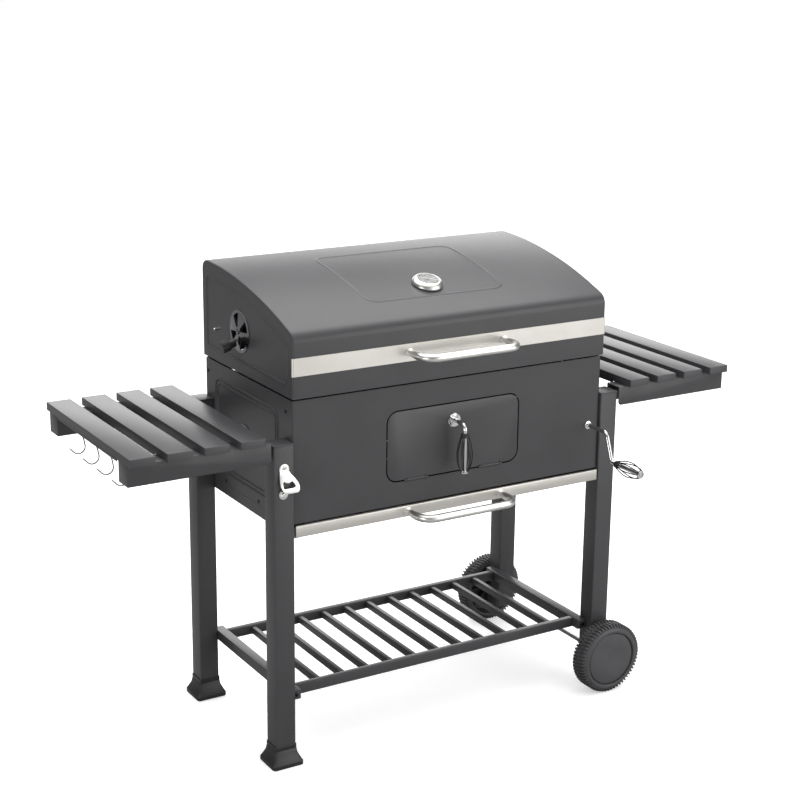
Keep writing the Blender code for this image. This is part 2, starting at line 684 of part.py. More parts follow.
def ledge(side):
    """Strip inside the front or back panel that carries the cooking grates."""
    ys = sorted((side * (panel_in + SHEET / 2), side * (panel_in - LEDGE_WIDTH)))
    return box((-half_width + 0.012, ys[0], ledge_z), (half_width - 0.012, ys[1], ledge_z + SHEET))


door_low = (-DOOR_WIDTH / 2, DOOR_BOTTOM)
door_high = (DOOR_WIDTH / 2, DOOR_BOTTOM + DOOR_HEIGHT)
opening_low = (door_low[0] - DOOR_GAP, door_low[1] - DOOR_GAP)
opening_high = (door_high[0] + DOOR_GAP, door_high[1] + DOOR_GAP)
door_axis_y = -half_depth - 0.0005
door_axis_z = DOOR_BOTTOM - 0.0010
notch = DOOR_BARREL_RADIUS + 0.0010
eye_bore = DOOR_PIN_RADIUS + RUNNING

front = [box((-half_width, -half_depth, FIREBOX_BOTTOM), (half_width, -panel_in, FIREBOX_TOP)), ledge(-1)]
front_cuts = [
    prism(rounded_box_outline(opening_low, opening_high, DOOR_CORNER + DOOR_GAP), "y", -half_depth - 0.01, -panel_in + 0.01),
    rod((crank_x, -half_depth - 0.01, CRANK_Z), (crank_x, -panel_in + 0.01, CRANK_Z), CRANK_ROD_RADIUS + RUNNING)]
eyes, eye_bores = [], []
for side in (-1, 1):
    middle = side * DOOR_BARREL_X
    reach = DOOR_BARREL_LENGTH / 2 + GAP
    front_cuts.append(box((middle - reach, -half_depth - 0.01, door_axis_z - notch),
                          (middle + reach, -panel_in + 0.01, door_axis_z + notch)))
    for edge in (-1, 1):
        near = middle + edge * (reach + GAP)
        far = near + edge * DOOR_EYE
        xs = sorted((near, far))
        eyes.append(rod((xs[0], door_axis_y, door_axis_z), (xs[1], door_axis_y, door_axis_z), DOOR_BARREL_RADIUS, 12))
        eyes.append(box((xs[0], door_axis_y, door_axis_z - DOOR_BARREL_RADIUS - 0.003),
                        (xs[1], -panel_in - SHEET / 3, door_axis_z)))
        eye_bores.append(rod((xs[0] - 0.001, door_axis_y, door_axis_z), (xs[1] + 0.001, door_axis_y, door_axis_z),
                             eye_bore, 12))
add("firebox_front", "powder_coat", [joined(front, front_cuts)] + eyes, eye_bores)

back = [box((-half_width, panel_in, FIREBOX_BOTTOM), (half_width, half_depth, FIREBOX_TOP)), ledge(1)]
back_cuts = [rod((crank_x, panel_in - 0.01, CRANK_Z), (crank_x, half_depth + 0.01, CRANK_Z), CRANK_ROD_RADIUS + RUNNING)]
add("firebox_back", "powder_coat", back, back_cuts)

side_end = panel_in - GAP
firebox_vent_z = FIREBOX_TOP - FIREBOX_VENT_DROP
side_panel = box((-half_width, -side_end, SIDE_PANEL_BOTTOM), (-half_width + SHEET, side_end, FIREBOX_TOP))
side_cuts = vent_windows(-half_width - 0.005, -half_width + SHEET + 0.005, FIREBOX_VENT_Y, firebox_vent_z)
side_cuts.append(rod((-half_width - 0.005, FIREBOX_VENT_Y, firebox_vent_z),
                     (-half_width + SHEET + 0.005, FIREBOX_VENT_Y, firebox_vent_z), VENT_PIVOT_RADIUS + RUNNING, 16))
add_pair(("firebox_side_left", "firebox_side_right"), "powder_coat", [side_panel], side_cuts, "x")
pieces, cuts = vent_disc(-half_width, FIREBOX_VENT_Y, firebox_vent_z)
add_pair(("firebox_vent_left", "firebox_vent_right"), "chrome", pieces, cuts, "x",
         (-half_width, FIREBOX_VENT_Y, firebox_vent_z))

# Drawer guides: a C channel under each side panel.
guide = prism([(-half_width, GUIDE_BOTTOM), (-half_width + GUIDE_FLANGE, GUIDE_BOTTOM),
               (-half_width + GUIDE_FLANGE, GUIDE_BOTTOM + SHEET), (-half_width + SHEET, GUIDE_BOTTOM + SHEET),
               (-half_width + SHEET, GUIDE_TOP), (-half_width, GUIDE_TOP)], "y", -side_end, side_end)
add_pair(("drawer_guide_left", "drawer_guide_right"), "powder_coat", [guide], [], "x")

# Ash drawer on the guides, its stainless front band and the handle.
drawer_half = half_width - SHEET - DRAWER_ROOM
drawer_low = GUIDE_BOTTOM + SHEET + GAP
pieces, cuts = open_box((-drawer_half, -half_depth, drawer_low),
                        (drawer_half, panel_in - DRAWER_BACK_ROOM, drawer_low + DRAWER_HEIGHT), SHEET / 1.5, "top")
add("ash_drawer", "galvanised", pieces, cuts)
band_half = leg_inner - BAND_SIDE_GAP
pieces, cuts = open_box((-band_half, -band_face, BAND_BOTTOM), (band_half, -half_depth - GAP, BAND_TOP), TRIM_SHEET, "back")
add("drawer_band", "stainless", pieces, cuts)


def handle(face_y, z):
    """Bent tube handle, its ends against the band's face."""
    half = HANDLE_SPAN / 2
    start = -face_y - GAP
    out = -face_y - HANDLE_STANDOFF
    corners = [(-half, start, z), (-half, out, z), (half, out, z), (half, start, z)]
    return tube(bent_path(corners, [HANDLE_BEND, HANDLE_BEND]), HANDLE_RADIUS, 14)


add("drawer_handle", "stainless", [handle(band_face, (BAND_BOTTOM + BAND_TOP) / 2)])


# --------------------------------------------------- door and its latch
def grip_cage(rod_radius, length):
    """Wire cage round a rod, drawn along +Z from 0; open rings at both ends."""
    bore = rod_radius + GAP
    pieces = []
    for low in (0, length - GRIP_RING):
        pieces.append(turned([(bore, low), (GRIP_END_RADIUS, low), (GRIP_END_RADIUS, low + GRIP_RING),
                              (bore, low + GRIP_RING)], "z", (0, 0, 0), 16))
    steps = 6
    root = GRIP_END_RADIUS - GRIP_WIRE_RADIUS - 0.0004
    for i in range(GRIP_WIRES):
        angle = 2 * math.pi * (i + 0.5) / GRIP_WIRES
        path = []
        for k in range(steps + 1):
            part = k / steps
            radius = root + (GRIP_BULGE_RADIUS - GRIP_WIRE_RADIUS - root) * math.sin(math.pi * part ** 1.25) ** 0.8
            z = GRIP_RING * 0.4 + (length - 0.8 * GRIP_RING) * part
            path.append(Vector((radius * math.cos(angle), radius * math.sin(angle), z)))
        pieces.append(tube(path, GRIP_WIRE_RADIUS, 4))
    return pieces


def moved(mesh, matrix):
    """A shape turned and placed."""
    bm = bmesh.new()
    bm.from_mesh(mesh)
    bmesh.ops.transform(bm, matrix=matrix, verts=bm.verts)
    bmesh.ops.recalc_face_normals(bm, faces=bm.faces)
    copy = bpy.data.meshes.new("moved")
    bm.to_mesh(copy)
    bm.free()
    return copy


door = [prism(rounded_box_outline(door_low, door_high, DOOR_CORNER), "y", -half_depth, -panel_in)]
door_cuts = [rod((0, -half_depth - 0.01, LATCH_Z), (0, -panel_in + 0.01, LATCH_Z), LATCH_ROD_RADIUS + RUNNING)]
barrels = []
for side in (-1, 1):
    middle = side * DOOR_BARREL_X
    reach = DOOR_BARREL_LENGTH / 2 - GAP
    pin_reach = DOOR_BARREL_LENGTH / 2 + 2 * GAP + DOOR_EYE
    barrels.append(rod((middle - reach, door_axis_y, door_axis_z), (middle + reach, door_axis_y, door_axis_z),
                       DOOR_BARREL_RADIUS, 12))
    barrels.append(rod((middle - pin_reach, door_axis_y, door_axis_z), (middle + pin_reach, door_axis_y, door_axis_z),
                       DOOR_PIN_RADIUS, 12))
    for edge in (-1, 1):
        xs = sorted((middle + edge * (reach + GAP), middle + edge * (pin_reach + GAP)))
        door_cuts.append(box((xs[0], -half_depth - 0.01, DOOR_BOTTOM - 0.01),
                             (xs[1], -panel_in + 0.01, door_axis_z + DOOR_BARREL_RADIUS + 0.001)))
add("charcoal_door", "powder_coat", [joined(door, door_cuts)] + barrels, [], (0, door_axis_y, door_axis_z))

latch_face = -half_depth - GAP
latch_out = -half_depth - LATCH_STANDOFF
latch_path = bent_path([(0, -panel_in + 0.008, LATCH_Z), (0, latch_out, LATCH_Z), (0, latch_out, LATCH_Z - LATCH_LENGTH)],
                       [LATCH_BEND])
latch = [tube(latch_path, LATCH_ROD_RADIUS, 14),
         turned([(0, latch_face), (LATCH_ROSETTE_RADIUS, latch_face),
                 (LATCH_ROSETTE_RADIUS - 0.002, latch_face - LATCH_ROSETTE_THICK), (0, latch_face - LATCH_ROSETTE_THICK)],
                "y", (0, 0, LATCH_Z), 24)]
add("door_latch", "chrome", latch, [], (0, latch_face, LATCH_Z))
latch_grip_low = LATCH_Z - LATCH_LENGTH + GAP
place = Matrix.Translation((0, latch_out, latch_grip_low + GRIP_LENGTH)) @ Matrix.Rotation(math.pi, 4, "X")
add("door_latch_grip", "wire_steel", [moved(m, place) for m in grip_cage(LATCH_ROD_RADIUS, GRIP_LENGTH)])


# ------------------------------------------ crank, pinion, rack and tray
shaft_out = -half_depth - CRANK_SHAFT_OUT
grip_y = shaft_out - CRANK_ARM_LEAN
grip_z = CRANK_Z - CRANK_ARM_DROP
crank_path = bent_path([(crank_x, half_depth - GAP, CRANK_Z), (crank_x, shaft_out, CRANK_Z), (crank_x, grip_y, grip_z),
                        (crank_x, -crank_reach, grip_z)], [CRANK_BEND, CRANK_BEND * 0.6])
crank = [tube(crank_path, CRANK_ROD_RADIUS, 14)]
add("crank", "chrome", crank, [], (crank_x, 0, CRANK_Z))
place = Matrix.Translation((crank_x, -grip_start_y, grip_z)) @ Matrix.Rotation(math.pi / 2, 4, "X")
add("crank_grip", "wire_steel", [moved(m, place) for m in grip_cage(CRANK_ROD_RADIUS, GRIP_LENGTH - GAP)])


def involute(angle):
    return math.tan(angle) - angle


def pinion_outline():
    """Involute teeth; a gap faces the rack, which lies on the -X side."""
    pressure = math.radians(GEAR_PRESSURE)
    base = pitch_radius * math.cos(pressure)
    root = pitch_radius - GEAR_DEDENDUM
    tip = pitch_radius + GEAR_ADDENDUM
    flank = []
    for i in range(5):
        radius = base + (tip - base) * i / 4
        turn = math.acos(min(1, base / radius))
        half = math.pi / (2 * GEAR_TEETH) - GEAR_BACKLASH / pitch_radius + involute(pressure) - involute(turn)
        flank.append((radius, half))
    flank.insert(0, (root, flank[0][1]))
    outline = []
    for tooth in range(GEAR_TEETH):
        middle = 2 * math.pi * (tooth + 0.5) / GEAR_TEETH
        for radius, half in flank:
            outline.append((crank_x + radius * math.cos(middle - half), CRANK_Z + radius * math.sin(middle - half)))
        for radius, half in reversed(flank):
            outline.append((crank_x + radius * math.cos(middle + half), CRANK_Z + radius * math.sin(middle + half)))
    return outline


gear_front = -half_depth + GEAR_INSET
gear_back = gear_front + GEAR_WIDTH
add("lift_pinion", "galvanised", [prism(pinion_outline(), "y", gear_front, gear_back)],
    [rod((crank_x, gear_front - 0.01, CRANK_Z), (crank_x, gear_back + 0.01, CRANK_Z), CRANK_ROD_RADIUS + GAP)],
    (crank_x, 0, CRANK_Z))

lean = math.tan(math.radians(GEAR_PRESSURE))
half_tooth = tooth_pitch / 4 - GEAR_BACKLASH
rack_low = CRANK_Z - (RACK_TEETH_BELOW + 0.5) * tooth_pitch
rack_high = CRANK_Z + (RACK_TEETH_ABOVE + 0.5) * tooth_pitch
rack_outline = [(rack_back_x, rack_high), (rack_back_x, rack_low), (pitch_line_x - GEAR_DEDENDUM, rack_low)]
for tooth in range(-RACK_TEETH_BELOW, RACK_TEETH_ABOVE + 1):
    z = CRANK_Z + tooth * tooth_pitch
    foot_half = half_tooth + GEAR_DEDENDUM * lean
    tip_half = half_tooth - GEAR_ADDENDUM * lean
    rack_outline += [(pitch_line_x - GEAR_DEDENDUM, z - foot_half), (pitch_line_x + GEAR_ADDENDUM, z - tip_half),
                     (pitch_line_x + GEAR_ADDENDUM, z + tip_half), (pitch_line_x - GEAR_DEDENDUM, z + foot_half)]
rack_outline.append((pitch_line_x - GEAR_DEDENDUM, rack_high))
add("lift_rack", "galvanised", [prism(rack_outline, "y", gear_front - 0.001, gear_back + 0.001)])

tray_low = (-half_width + SHEET + TRAY_SIDE_ROOM, -panel_in + TRAY_FRONT_ROOM, TRAY_BOTTOM)
tray_high = (rack_back_x - GAP, panel_in - TRAY_FRONT_ROOM, TRAY_BOTTOM + TRAY_HEIGHT)
pieces, cuts = open_box(tray_low, tray_high, SHEET, "top")
slot_pitch = (tray_high[0] - tray_low[0]) / (TRAY_SLOTS + 1)
for i in range(TRAY_SLOTS):
    x = tray_low[0] + (i + 1) * slot_pitch
    cuts.append(box((x - TRAY_SLOT_WIDTH / 2, tray_low[1] + 0.03, TRAY_BOTTOM - 0.01),
                    (x + TRAY_SLOT_WIDTH / 2, tray_high[1] - 0.03, TRAY_BOTTOM + 0.01)))
add("charcoal_tray", "black_enamel", pieces, cuts)

# Two cooking grates side by side on the ledges.
grate_top = FIREBOX_TOP - GRATE_TOP_DROP
grate_reach = panel_in - GRATE_ROOM
grate_inner = 0.0010
grate_outer = half_width - SHEET - GRATE_ROOM
rim = GRATE_ROD_WIDTH
grate = [box((-grate_outer, -grate_reach, grate_top - GRATE_THICK), (-grate_inner, grate_reach, grate_top))]
grate_cuts = []
clear = grate_outer - grate_inner - 2 * rim
rod_pitch = (clear + GRATE_ROD_WIDTH) / (GRATE_RODS + 1)
for i in range(GRATE_RODS + 1):
    low_x = -grate_outer + rim + i * rod_pitch
    grate_cuts.append(box((low_x, -grate_reach + rim, grate_top - 2 * GRATE_THICK),
                          (low_x + rod_pitch - GRATE_ROD_WIDTH, grate_reach - rim, grate_top + GRATE_THICK)))
add_pair(("grate_left", "grate_right"), "chrome", grate, grate_cuts, "x")


# ------------------------------------------------------------ the hood
def hood_outline(inset, bottom):
    """Side view of the hood, front bottom over the crown to back bottom, inset from the outer skin."""
    front_z = hood_low + HOOD_FRONT_HEIGHT
    back_z = hood_low + HOOD_BACK_HEIGHT
    chord = Vector((2 * hood_face, back_z - front_z))
    rise = math.sqrt(HOOD_CROWN_RADIUS ** 2 - (chord.length / 2) ** 2)
    down = Vector((chord.y, -chord.x)).normalized()
    centre = Vector((0, (front_z + back_z) / 2)) + down * rise
    radius = HOOD_CROWN_RADIUS - inset
    wall = hood_face - inset
    points = [(-wall, bottom)]
    bends = []
    for side, bend in ((-1, HOOD_FRONT_BEND - inset), (1, HOOD_BACK_BEND - inset)):
        middle_y = side * (wall - bend)
        reach = math.sqrt((radius - bend) ** 2 - (middle_y - centre.x) ** 2)
        middle = Vector((middle_y, centre.y + reach))
        touch = math.degrees(math.atan2(middle.y - centre.y, middle.x - centre.x))
        bends.append((middle, bend, touch))
    (front_mid, front_bend, front_touch), (back_mid, back_bend, back_touch) = bends
    points += arc(front_mid, front_bend, 180, front_touch, 6)
    points += arc(centre, radius, front_touch, back_touch, 14)[1:-1]
    points += arc(back_mid, back_bend, back_touch, 0, 6)
    points.append((wall, bottom))
    return points


def crown_at(y):
    """Height and slope of the hood's outer skin at y."""
    points = hood_outline(0, hood_low)
    for first, second in zip(points, points[1:]):
        if first[0] <= y <= second[0] and second[0] - first[0] > 1e-6:
            slope = (second[1] - first[1]) / (second[0] - first[0])
            return first[1] + slope * (y - first[0]), math.atan(slope)
    return points[0][1], 0.0


thermo_z, thermo_slope = crown_at(THERMOMETER_Y)
thermo_place = Matrix.Translation((0, THERMOMETER_Y, thermo_z)) @ Matrix.Rotation(thermo_slope, 4, "X")
skin = hood_outline(0, hood_low) + list(reversed(hood_outline(SHEET, hood_low)))
hood = [prism(skin, "x", -hood_half, hood_half)]
hood_cuts = [moved(rod((0, 0, -0.02), (0, 0, 0.02), THERMOMETER_STEM_RADIUS + RUNNING), thermo_place)]
for side in (-1, 1):
    middle = side * hinge_x
    low, high = middle - KNUCKLE_LENGTH / 2, middle + KNUCKLE_LENGTH / 2
    hood.append(rod((low, hinge_y, hinge_z), (high, hinge_y, hinge_z), KNUCKLE_RADIUS))
    hood.append(box((low, hood_face - SHEET / 2, hood_low), (high, hinge_y, hinge_z - HINGE_PIN_RADIUS - 0.001)))
    hood_cuts.append(rod((low - 0.005, hinge_y, hinge_z), (high + 0.005, hinge_y, hinge_z), HINGE_PIN_RADIUS + RUNNING))
hood_pivot = (0, hinge_y, hinge_z)
add("hood_shell", "powder_coat", hood, hood_cuts, hood_pivot)

# Hinge bracket: leaf on the firebox's back, an ear each side of the hood's knuckle, and the pin.
leaf_high = FIREBOX_TOP - 0.002
leaf_low = leaf_high - HINGE_LEAF_HEIGHT
ear_near = half_depth + GAP
for side, where in ((-1, "left"), (1, "right")):
    middle = side * hinge_x
    reach = KNUCKLE_LENGTH / 2 + GAP
    outer = reach + HINGE_EAR
    bracket = [box((middle - outer, ear_near, leaf_low), (middle + outer, ear_near + 0.002, leaf_high))]
    ear = [(ear_near, leaf_low), (hinge_y + KNUCKLE_RADIUS, leaf_high - 0.012), (hinge_y + KNUCKLE_RADIUS, hinge_z)]
    ear += arc((hinge_y, hinge_z), KNUCKLE_RADIUS, 0, 180, 6)[1:]
    ear += [(hinge_y - KNUCKLE_RADIUS, leaf_high), (ear_near, leaf_high)]
    for edge in (-1, 1):
        xs = sorted((middle + edge * reach, middle + edge * outer))
        bracket.append(prism(ear, "x", xs[0], xs[1]))
    bracket.append(rod((middle - outer - 0.001, hinge_y, hinge_z), (middle + outer + 0.001, hinge_y, hinge_z),
                       HINGE_PIN_RADIUS))
    add("hood_hinge_" + where, "powder_coat", bracket)

end_outer = hood_half - HOOD_END_INSET
end_plate = prism(hood_outline(SHEET + GAP, hood_low + GAP), "x", -end_outer, -end_outer + SHEET)
hood_vent_z = hood_low + HOOD_VENT_RISE
end_cuts = vent_windows(-end_outer - 0.005, -end_outer + SHEET + 0.005, HOOD_VENT_Y, hood_vent_z)
end_cuts.append(rod((-end_outer - 0.005, HOOD_VENT_Y, hood_vent_z), (-end_outer + SHEET + 0.005, HOOD_VENT_Y, hood_vent_z),
                    VENT_PIVOT_RADIUS + RUNNING, 16))
add_pair(("hood_end_left", "hood_end_right"), "powder_coat", [end_plate], end_cuts, "x", hood_pivot)
pieces, cuts = vent_disc(-end_outer, HOOD_VENT_Y, hood_vent_z)
add_pair(("hood_vent_left", "hood_vent_right"), "chrome", pieces, cuts, "x", (-end_outer, HOOD_VENT_Y, hood_vent_z))

# Stainless band round the hood's front, turned back a little at both ends.
trim_low = hood_low + TRIM_LOW
trim_high = trim_low + TRIM_HEIGHT
trim_x = hood_half + GAP + TRIM_SHEET
trim = prism([(-trim_x, -hood_face - GAP - TRIM_SHEET), (trim_x, -hood_face - GAP - TRIM_SHEET),
              (trim_x, -hood_face + TRIM_RETURN), (trim_x - TRIM_SHEET, -hood_face + TRIM_RETURN),
              (trim_x - TRIM_SHEET, -hood_face - GAP), (-trim_x + TRIM_SHEET, -hood_face - GAP),
              (-trim_x + TRIM_SHEET, -hood_face + TRIM_RETURN), (-trim_x, -hood_face + TRIM_RETURN)],
             "z", trim_low, trim_high)
add("hood_trim", "stainless", [trim], [], hood_pivot)
add("hood_handle", "stainless", [handle(hood_face + GAP + TRIM_SHEET, (trim_low + trim_high) / 2)], [], hood_pivot)

stem_end = -THERMOMETER_STEM
thermometer = turned([(0, stem_end), (THERMOMETER_STEM_RADIUS, stem_end), (THERMOMETER_STEM_RADIUS, 2 * GAP),
                      (THERMOMETER_RADIUS, 2 * GAP), (THERMOMETER_RADIUS, 0.003),
                      (THERMOMETER_FACE_RADIUS, THERMOMETER_HEIGHT), (THERMOMETER_FACE_RADIUS - 0.002, THERMOMETER_HEIGHT),
                      (THERMOMETER_FACE_RADIUS - 0.003, THERMOMETER_HEIGHT - 0.002), (0, THERMOMETER_HEIGHT - 0.002)],
                     "z", (0, 0, 0), 32)
gauge = add("thermometer", "chrome", [thermometer])
gauge.location = (0, THERMOMETER_Y, thermo_z)
gauge.rotation_euler = (thermo_slope, 0, 0)


# ---------------------------------------------------------- the tables
def table_arm(end):
    """Left arm: channel open below, round lower corner by the leg, bore for the fold pin."""
    ys = sorted((end * leg_back, end * leg_face))
    low = (-table_reach + 0.001, ys[0], arm_low)
    high = (-arm_inner, ys[1], arm_top)
    outline = [(low[0], low[2])]
    outline += arc((-arm_inner - FOLD_CORNER, arm_low + FOLD_CORNER), FOLD_CORNER, -90, 0, 6)
    outline += [(high[0], high[2]), (low[0], high[2])]
    pieces = [prism(outline, "y", ys[0], ys[1])]
    cuts = [box((low[0] + SHEET, ys[0] + SHEET, low[2] - 0.01), (high[0] + 0.01, ys[1] - SHEET, high[2] - SHEET)),
            rod((-fold_x, end * (leg_back - 0.002), fold_z), (-fold_x, end * (leg_back + 0.002), fold_z),
                FOLD_PIN_RADIUS + RUNNING)]
    return pieces, cuts


for end, where in ((-1, "front"), (1, "rear")):
    pieces, cuts = table_arm(end)
    add_pair(("table_arm_left_" + where, "table_arm_right_" + where), "powder_coat", pieces, cuts, "x", (-fold_x, 0, fold_z))

for i in range(SLATS):
    outer = -table_reach + i * SLAT_PITCH
    pieces, cuts = open_box((outer, -table_face, TABLE_TOP - SLAT_HEIGHT), (outer + SLAT_WIDTH, table_face, TABLE_TOP),
                            SLAT_WALL, "bottom")
    number = str(i + 1)
    add_pair(("slat_left_" + number, "slat_right_" + number), "powder_coat", pieces, cuts, "x", (-fold_x, 0, fold_z))

# Wire hooks under the outer left slat, open outwards.
hook_x = -table_reach + HOOK_SHANK_INSET
hook_low = TABLE_TOP - SLAT_HEIGHT - HOOK_DROP
bowl_x = hook_x - HOOK_LEAN
hook_straight = 0.004    # upright below the slat
hook_path = [(hook_x, TABLE_TOP - SLAT_WALL - GAP), (hook_x, TABLE_TOP - SLAT_HEIGHT - hook_straight),
             (hook_x + HOOK_KNEE[0], hook_low + HOOK_KNEE[1])]
hook_path += arc((bowl_x, hook_low + HOOK_RADIUS), HOOK_RADIUS, 10, HOOK_BOWL_END, 8)
hook_path.append((bowl_x - HOOK_TIP[0], hook_low + HOOK_TIP[1]))
for i in range(HOOKS):
    y = (i - (HOOKS - 1) / 2) * HOOK_PITCH
    points = [Vector((a, y, b)) for a, b in hook_path]
    add("hook_" + str(i + 1), "chrome", [tube(points, HOOK_WIRE_RADIUS, 8)], [], (-fold_x, 0, fold_z))

# Bottle opener on the front left leg: upper lug, plate kicked forward with its window, lower lug.
face = -leg_face - GAP
plate_x = -leg_inner - LEG_SIZE / 2
upper = (plate_x - 0.001, OPENER_TOP)
lower = (plate_x - 0.003, OPENER_BOTTOM)


def kicked(mesh):
    """The plate leaned out from the leg below its fold."""
    bm = bmesh.new()
    bm.from_mesh(mesh)
    for vert in bm.verts:
        vert.co.y -= OPENER_KICK * (OPENER_FOLD - vert.co.z) / (OPENER_FOLD - OPENER_LIP)
    bm.to_mesh(mesh)
    bm.free()
    return mesh


plate = kicked(prism([(plate_x + a, OPENER_LIP + b) for a, b in OPENER_PLATE], "y", face - OPENER_SHEET, face))
link = box((lower[0] - 0.005, face - OPENER_KICK - OPENER_SHEET / 2, OPENER_LIP + 0.0005),
           (lower[0] + 0.007, face, OPENER_LIP + 0.0005 + OPENER_SHEET))
opener = [prism(circle(upper, OPENER_LUG, 20), "y", face - OPENER_SHEET, face), plate,
          prism(circle(lower, OPENER_LOW_LUG, 20), "y", face - OPENER_SHEET, face), link]
window = [(plate_x + a, OPENER_LIP + b) for a, b in OPENER_WINDOW]
opener_cuts = [prism(window, "y", face - 0.03, face + 0.0001),
               prism(circle((upper[0], upper[1] + OPENER_HOLE_UP), OPENER_HOLE_RADIUS, 12), "y", face - 0.01, face + 0.01),
               prism(circle((lower[0], lower[1] - OPENER_HOLE_DOWN), OPENER_HOLE_RADIUS, 12), "y", face - 0.01, face + 0.01)]
add("bottle_opener", "chrome", opener, opener_cuts)
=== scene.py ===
# Charcoal grill trolley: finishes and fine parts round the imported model.
import json
import math

import bmesh
import bpy
from mathutils import Matrix, Vector


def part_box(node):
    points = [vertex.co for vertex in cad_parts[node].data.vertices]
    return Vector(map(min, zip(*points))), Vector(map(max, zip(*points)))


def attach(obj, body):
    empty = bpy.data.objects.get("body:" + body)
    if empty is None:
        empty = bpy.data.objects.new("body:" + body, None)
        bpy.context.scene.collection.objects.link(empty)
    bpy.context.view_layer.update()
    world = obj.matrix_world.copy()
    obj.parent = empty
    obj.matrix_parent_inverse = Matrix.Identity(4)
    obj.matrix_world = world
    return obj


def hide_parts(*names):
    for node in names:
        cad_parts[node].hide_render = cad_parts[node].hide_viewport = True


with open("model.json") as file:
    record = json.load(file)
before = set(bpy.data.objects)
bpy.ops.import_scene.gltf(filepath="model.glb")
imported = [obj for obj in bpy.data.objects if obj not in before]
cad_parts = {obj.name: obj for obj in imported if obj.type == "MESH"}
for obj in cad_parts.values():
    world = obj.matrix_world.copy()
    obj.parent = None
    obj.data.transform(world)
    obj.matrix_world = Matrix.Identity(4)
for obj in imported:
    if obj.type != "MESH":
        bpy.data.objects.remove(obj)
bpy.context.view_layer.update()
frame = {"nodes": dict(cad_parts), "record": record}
print("frame loaded:", len(frame["nodes"]), "nodes")

# The grill is drawn about the middle of its legs; midY is where that lies in the frame.
midY = (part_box("leg_front_left")[0].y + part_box("leg_rear_left")[1].y) / 2

firebox = {"halfWidth": 0.4105, "halfDepth": 0.219, "bottom": 0.567, "top": 0.844, "sheet": 0.0015,
           "edgeRadius": 0.004, "sideBottom": 0.5615}
hood = {"halfWidth": 0.413, "face": 0.2255, "low": 0.848, "frontHeight": 0.141, "backHeight": 0.2275,
        "crownRadius": 1.15, "frontBend": 0.028, "backBend": 0.022, "edgeRadius": 0.0045, "seam": 0.0011}
hinge = {"y": 0.2311, "z": 0.853, "x": 0.3005, "half": 0.015}
print("middle of the legs at y =", round(midY, 5))


# sRGB hex to linear
def hexColour(value):
    linear = []
    for i in (0, 2, 4):
        part = int(value[i:i + 2], 16) / 255
        linear.append(part / 12.92 if part <= 0.04045 else ((part + 0.055) / 1.055) ** 2.4)
    return (*linear, 1.0)


def addNode(tree, kind, settings=None, links=None):
    node = tree.nodes.new(kind)
    for key, value in (settings or {}).items():
        if key in node.inputs:
            node.inputs[key].default_value = value
        else:
            setattr(node, key, value)
    for key, source in (links or {}).items():
        tree.links.new(source, node.inputs[key])
    return node


def newMaterial(name, settings):
    material = bpy.data.materials.new(name)
    material.use_nodes = True
    tree = material.node_tree
    shader = tree.nodes["Principled BSDF"]
    for key, value in settings.items():
        shader.inputs[key].default_value = value
    place = addNode(tree, "ShaderNodeTexCoord").outputs["Object"]
    return material, tree, shader, place


# A finish with soft colour patches, uneven gloss and a fine grain; patch and grain are in metres.
def varied(name, settings, first, second, patch, roughLow, roughHigh, grain, depth, stretch=(1, 1, 1)):
    material, tree, shader, place = newMaterial(name, settings)
    clouds = addNode(tree, "ShaderNodeTexNoise", {"Scale": 1 / patch, "Detail": 3.0}, {"Vector": place})
    ramp = addNode(tree, "ShaderNodeValToRGB", {}, {"Fac": clouds.outputs["Fac"]})
    ramp.color_ramp.elements[0].position = 0.3
    ramp.color_ramp.elements[0].color = hexColour(first)
    ramp.color_ramp.elements[1].position = 0.7
    ramp.color_ramp.elements[1].color = hexColour(second)
    tree.links.new(ramp.outputs["Color"], shader.inputs["Base Color"])
    mapped = addNode(tree, "ShaderNodeMapping", {"Scale": stretch}, {"Vector": place})
    fine = addNode(tree, "ShaderNodeTexNoise", {"Scale": 1 / grain, "Detail": 2.0},
                   {"Vector": mapped.outputs["Vector"]})
    rough = addNode(tree, "ShaderNodeMapRange",
                    {"From Min": 0.3, "From Max": 0.7, "To Min": roughLow, "To Max": roughHigh},
                    {"Value": fine.outputs["Fac"]})
    tree.links.new(rough.outputs["Result"], shader.inputs["Roughness"])
    bump = addNode(tree, "ShaderNodeBump", {"Strength": 1.0, "Distance": depth}, {"Height": fine.outputs["Fac"]})
    tree.links.new(bump.outputs["Normal"], shader.inputs["Normal"])
    return material


# Satin powder coat over steel: baked polyester, so a soft sheen with a faint orange peel. Peel is
# really about 1 mm, drawn at 2.5 mm to show.
powderCoat = varied("satinPowderCoat", {"IOR": 1.5, "Specular IOR Level": 0.45}, "3f3f41", "434345", 0.12,
                    0.33, 0.41, 0.0025, 0.00002)
# Brushed stainless sheet: long fine scratches along X give a broad, pale gleam. Real scratches are
# 0.05 mm apart, drawn at 0.8 mm.
brushedSheet = varied("brushedStainless", {"Metallic": 1.0, "Anisotropic": 0.4}, "d6d3cc", "dedbd5", 0.09,
                      0.34, 0.46, 0.0008, 0.000012, (0.02, 1, 1))
# Satin polished stainless tube: clear highlights along its length.
satinTube = varied("satinStainlessTube", {"Metallic": 1.0}, "e2e0dc", "ebe9e5", 0.05,
                   0.30, 0.36, 0.0012, 0.0000015, (0.05, 1, 1))
# Chrome plate: a mirror with a trace of haze.
chromePlate = varied("chromePlate", {"Metallic": 1.0}, "dcdcdc", "e6e6e6", 0.03, 0.06, 0.12, 0.004, 0.000004)
# Moulded polypropylene: matt, slightly grey, fine moulded grain of 0.7 mm drawn at 1.5 mm.
mouldedPlastic = varied("mouldedPolypropylene", {"IOR": 1.49}, "48484a", "515153", 0.05,
                        0.46, 0.58, 0.0015, 0.00004)
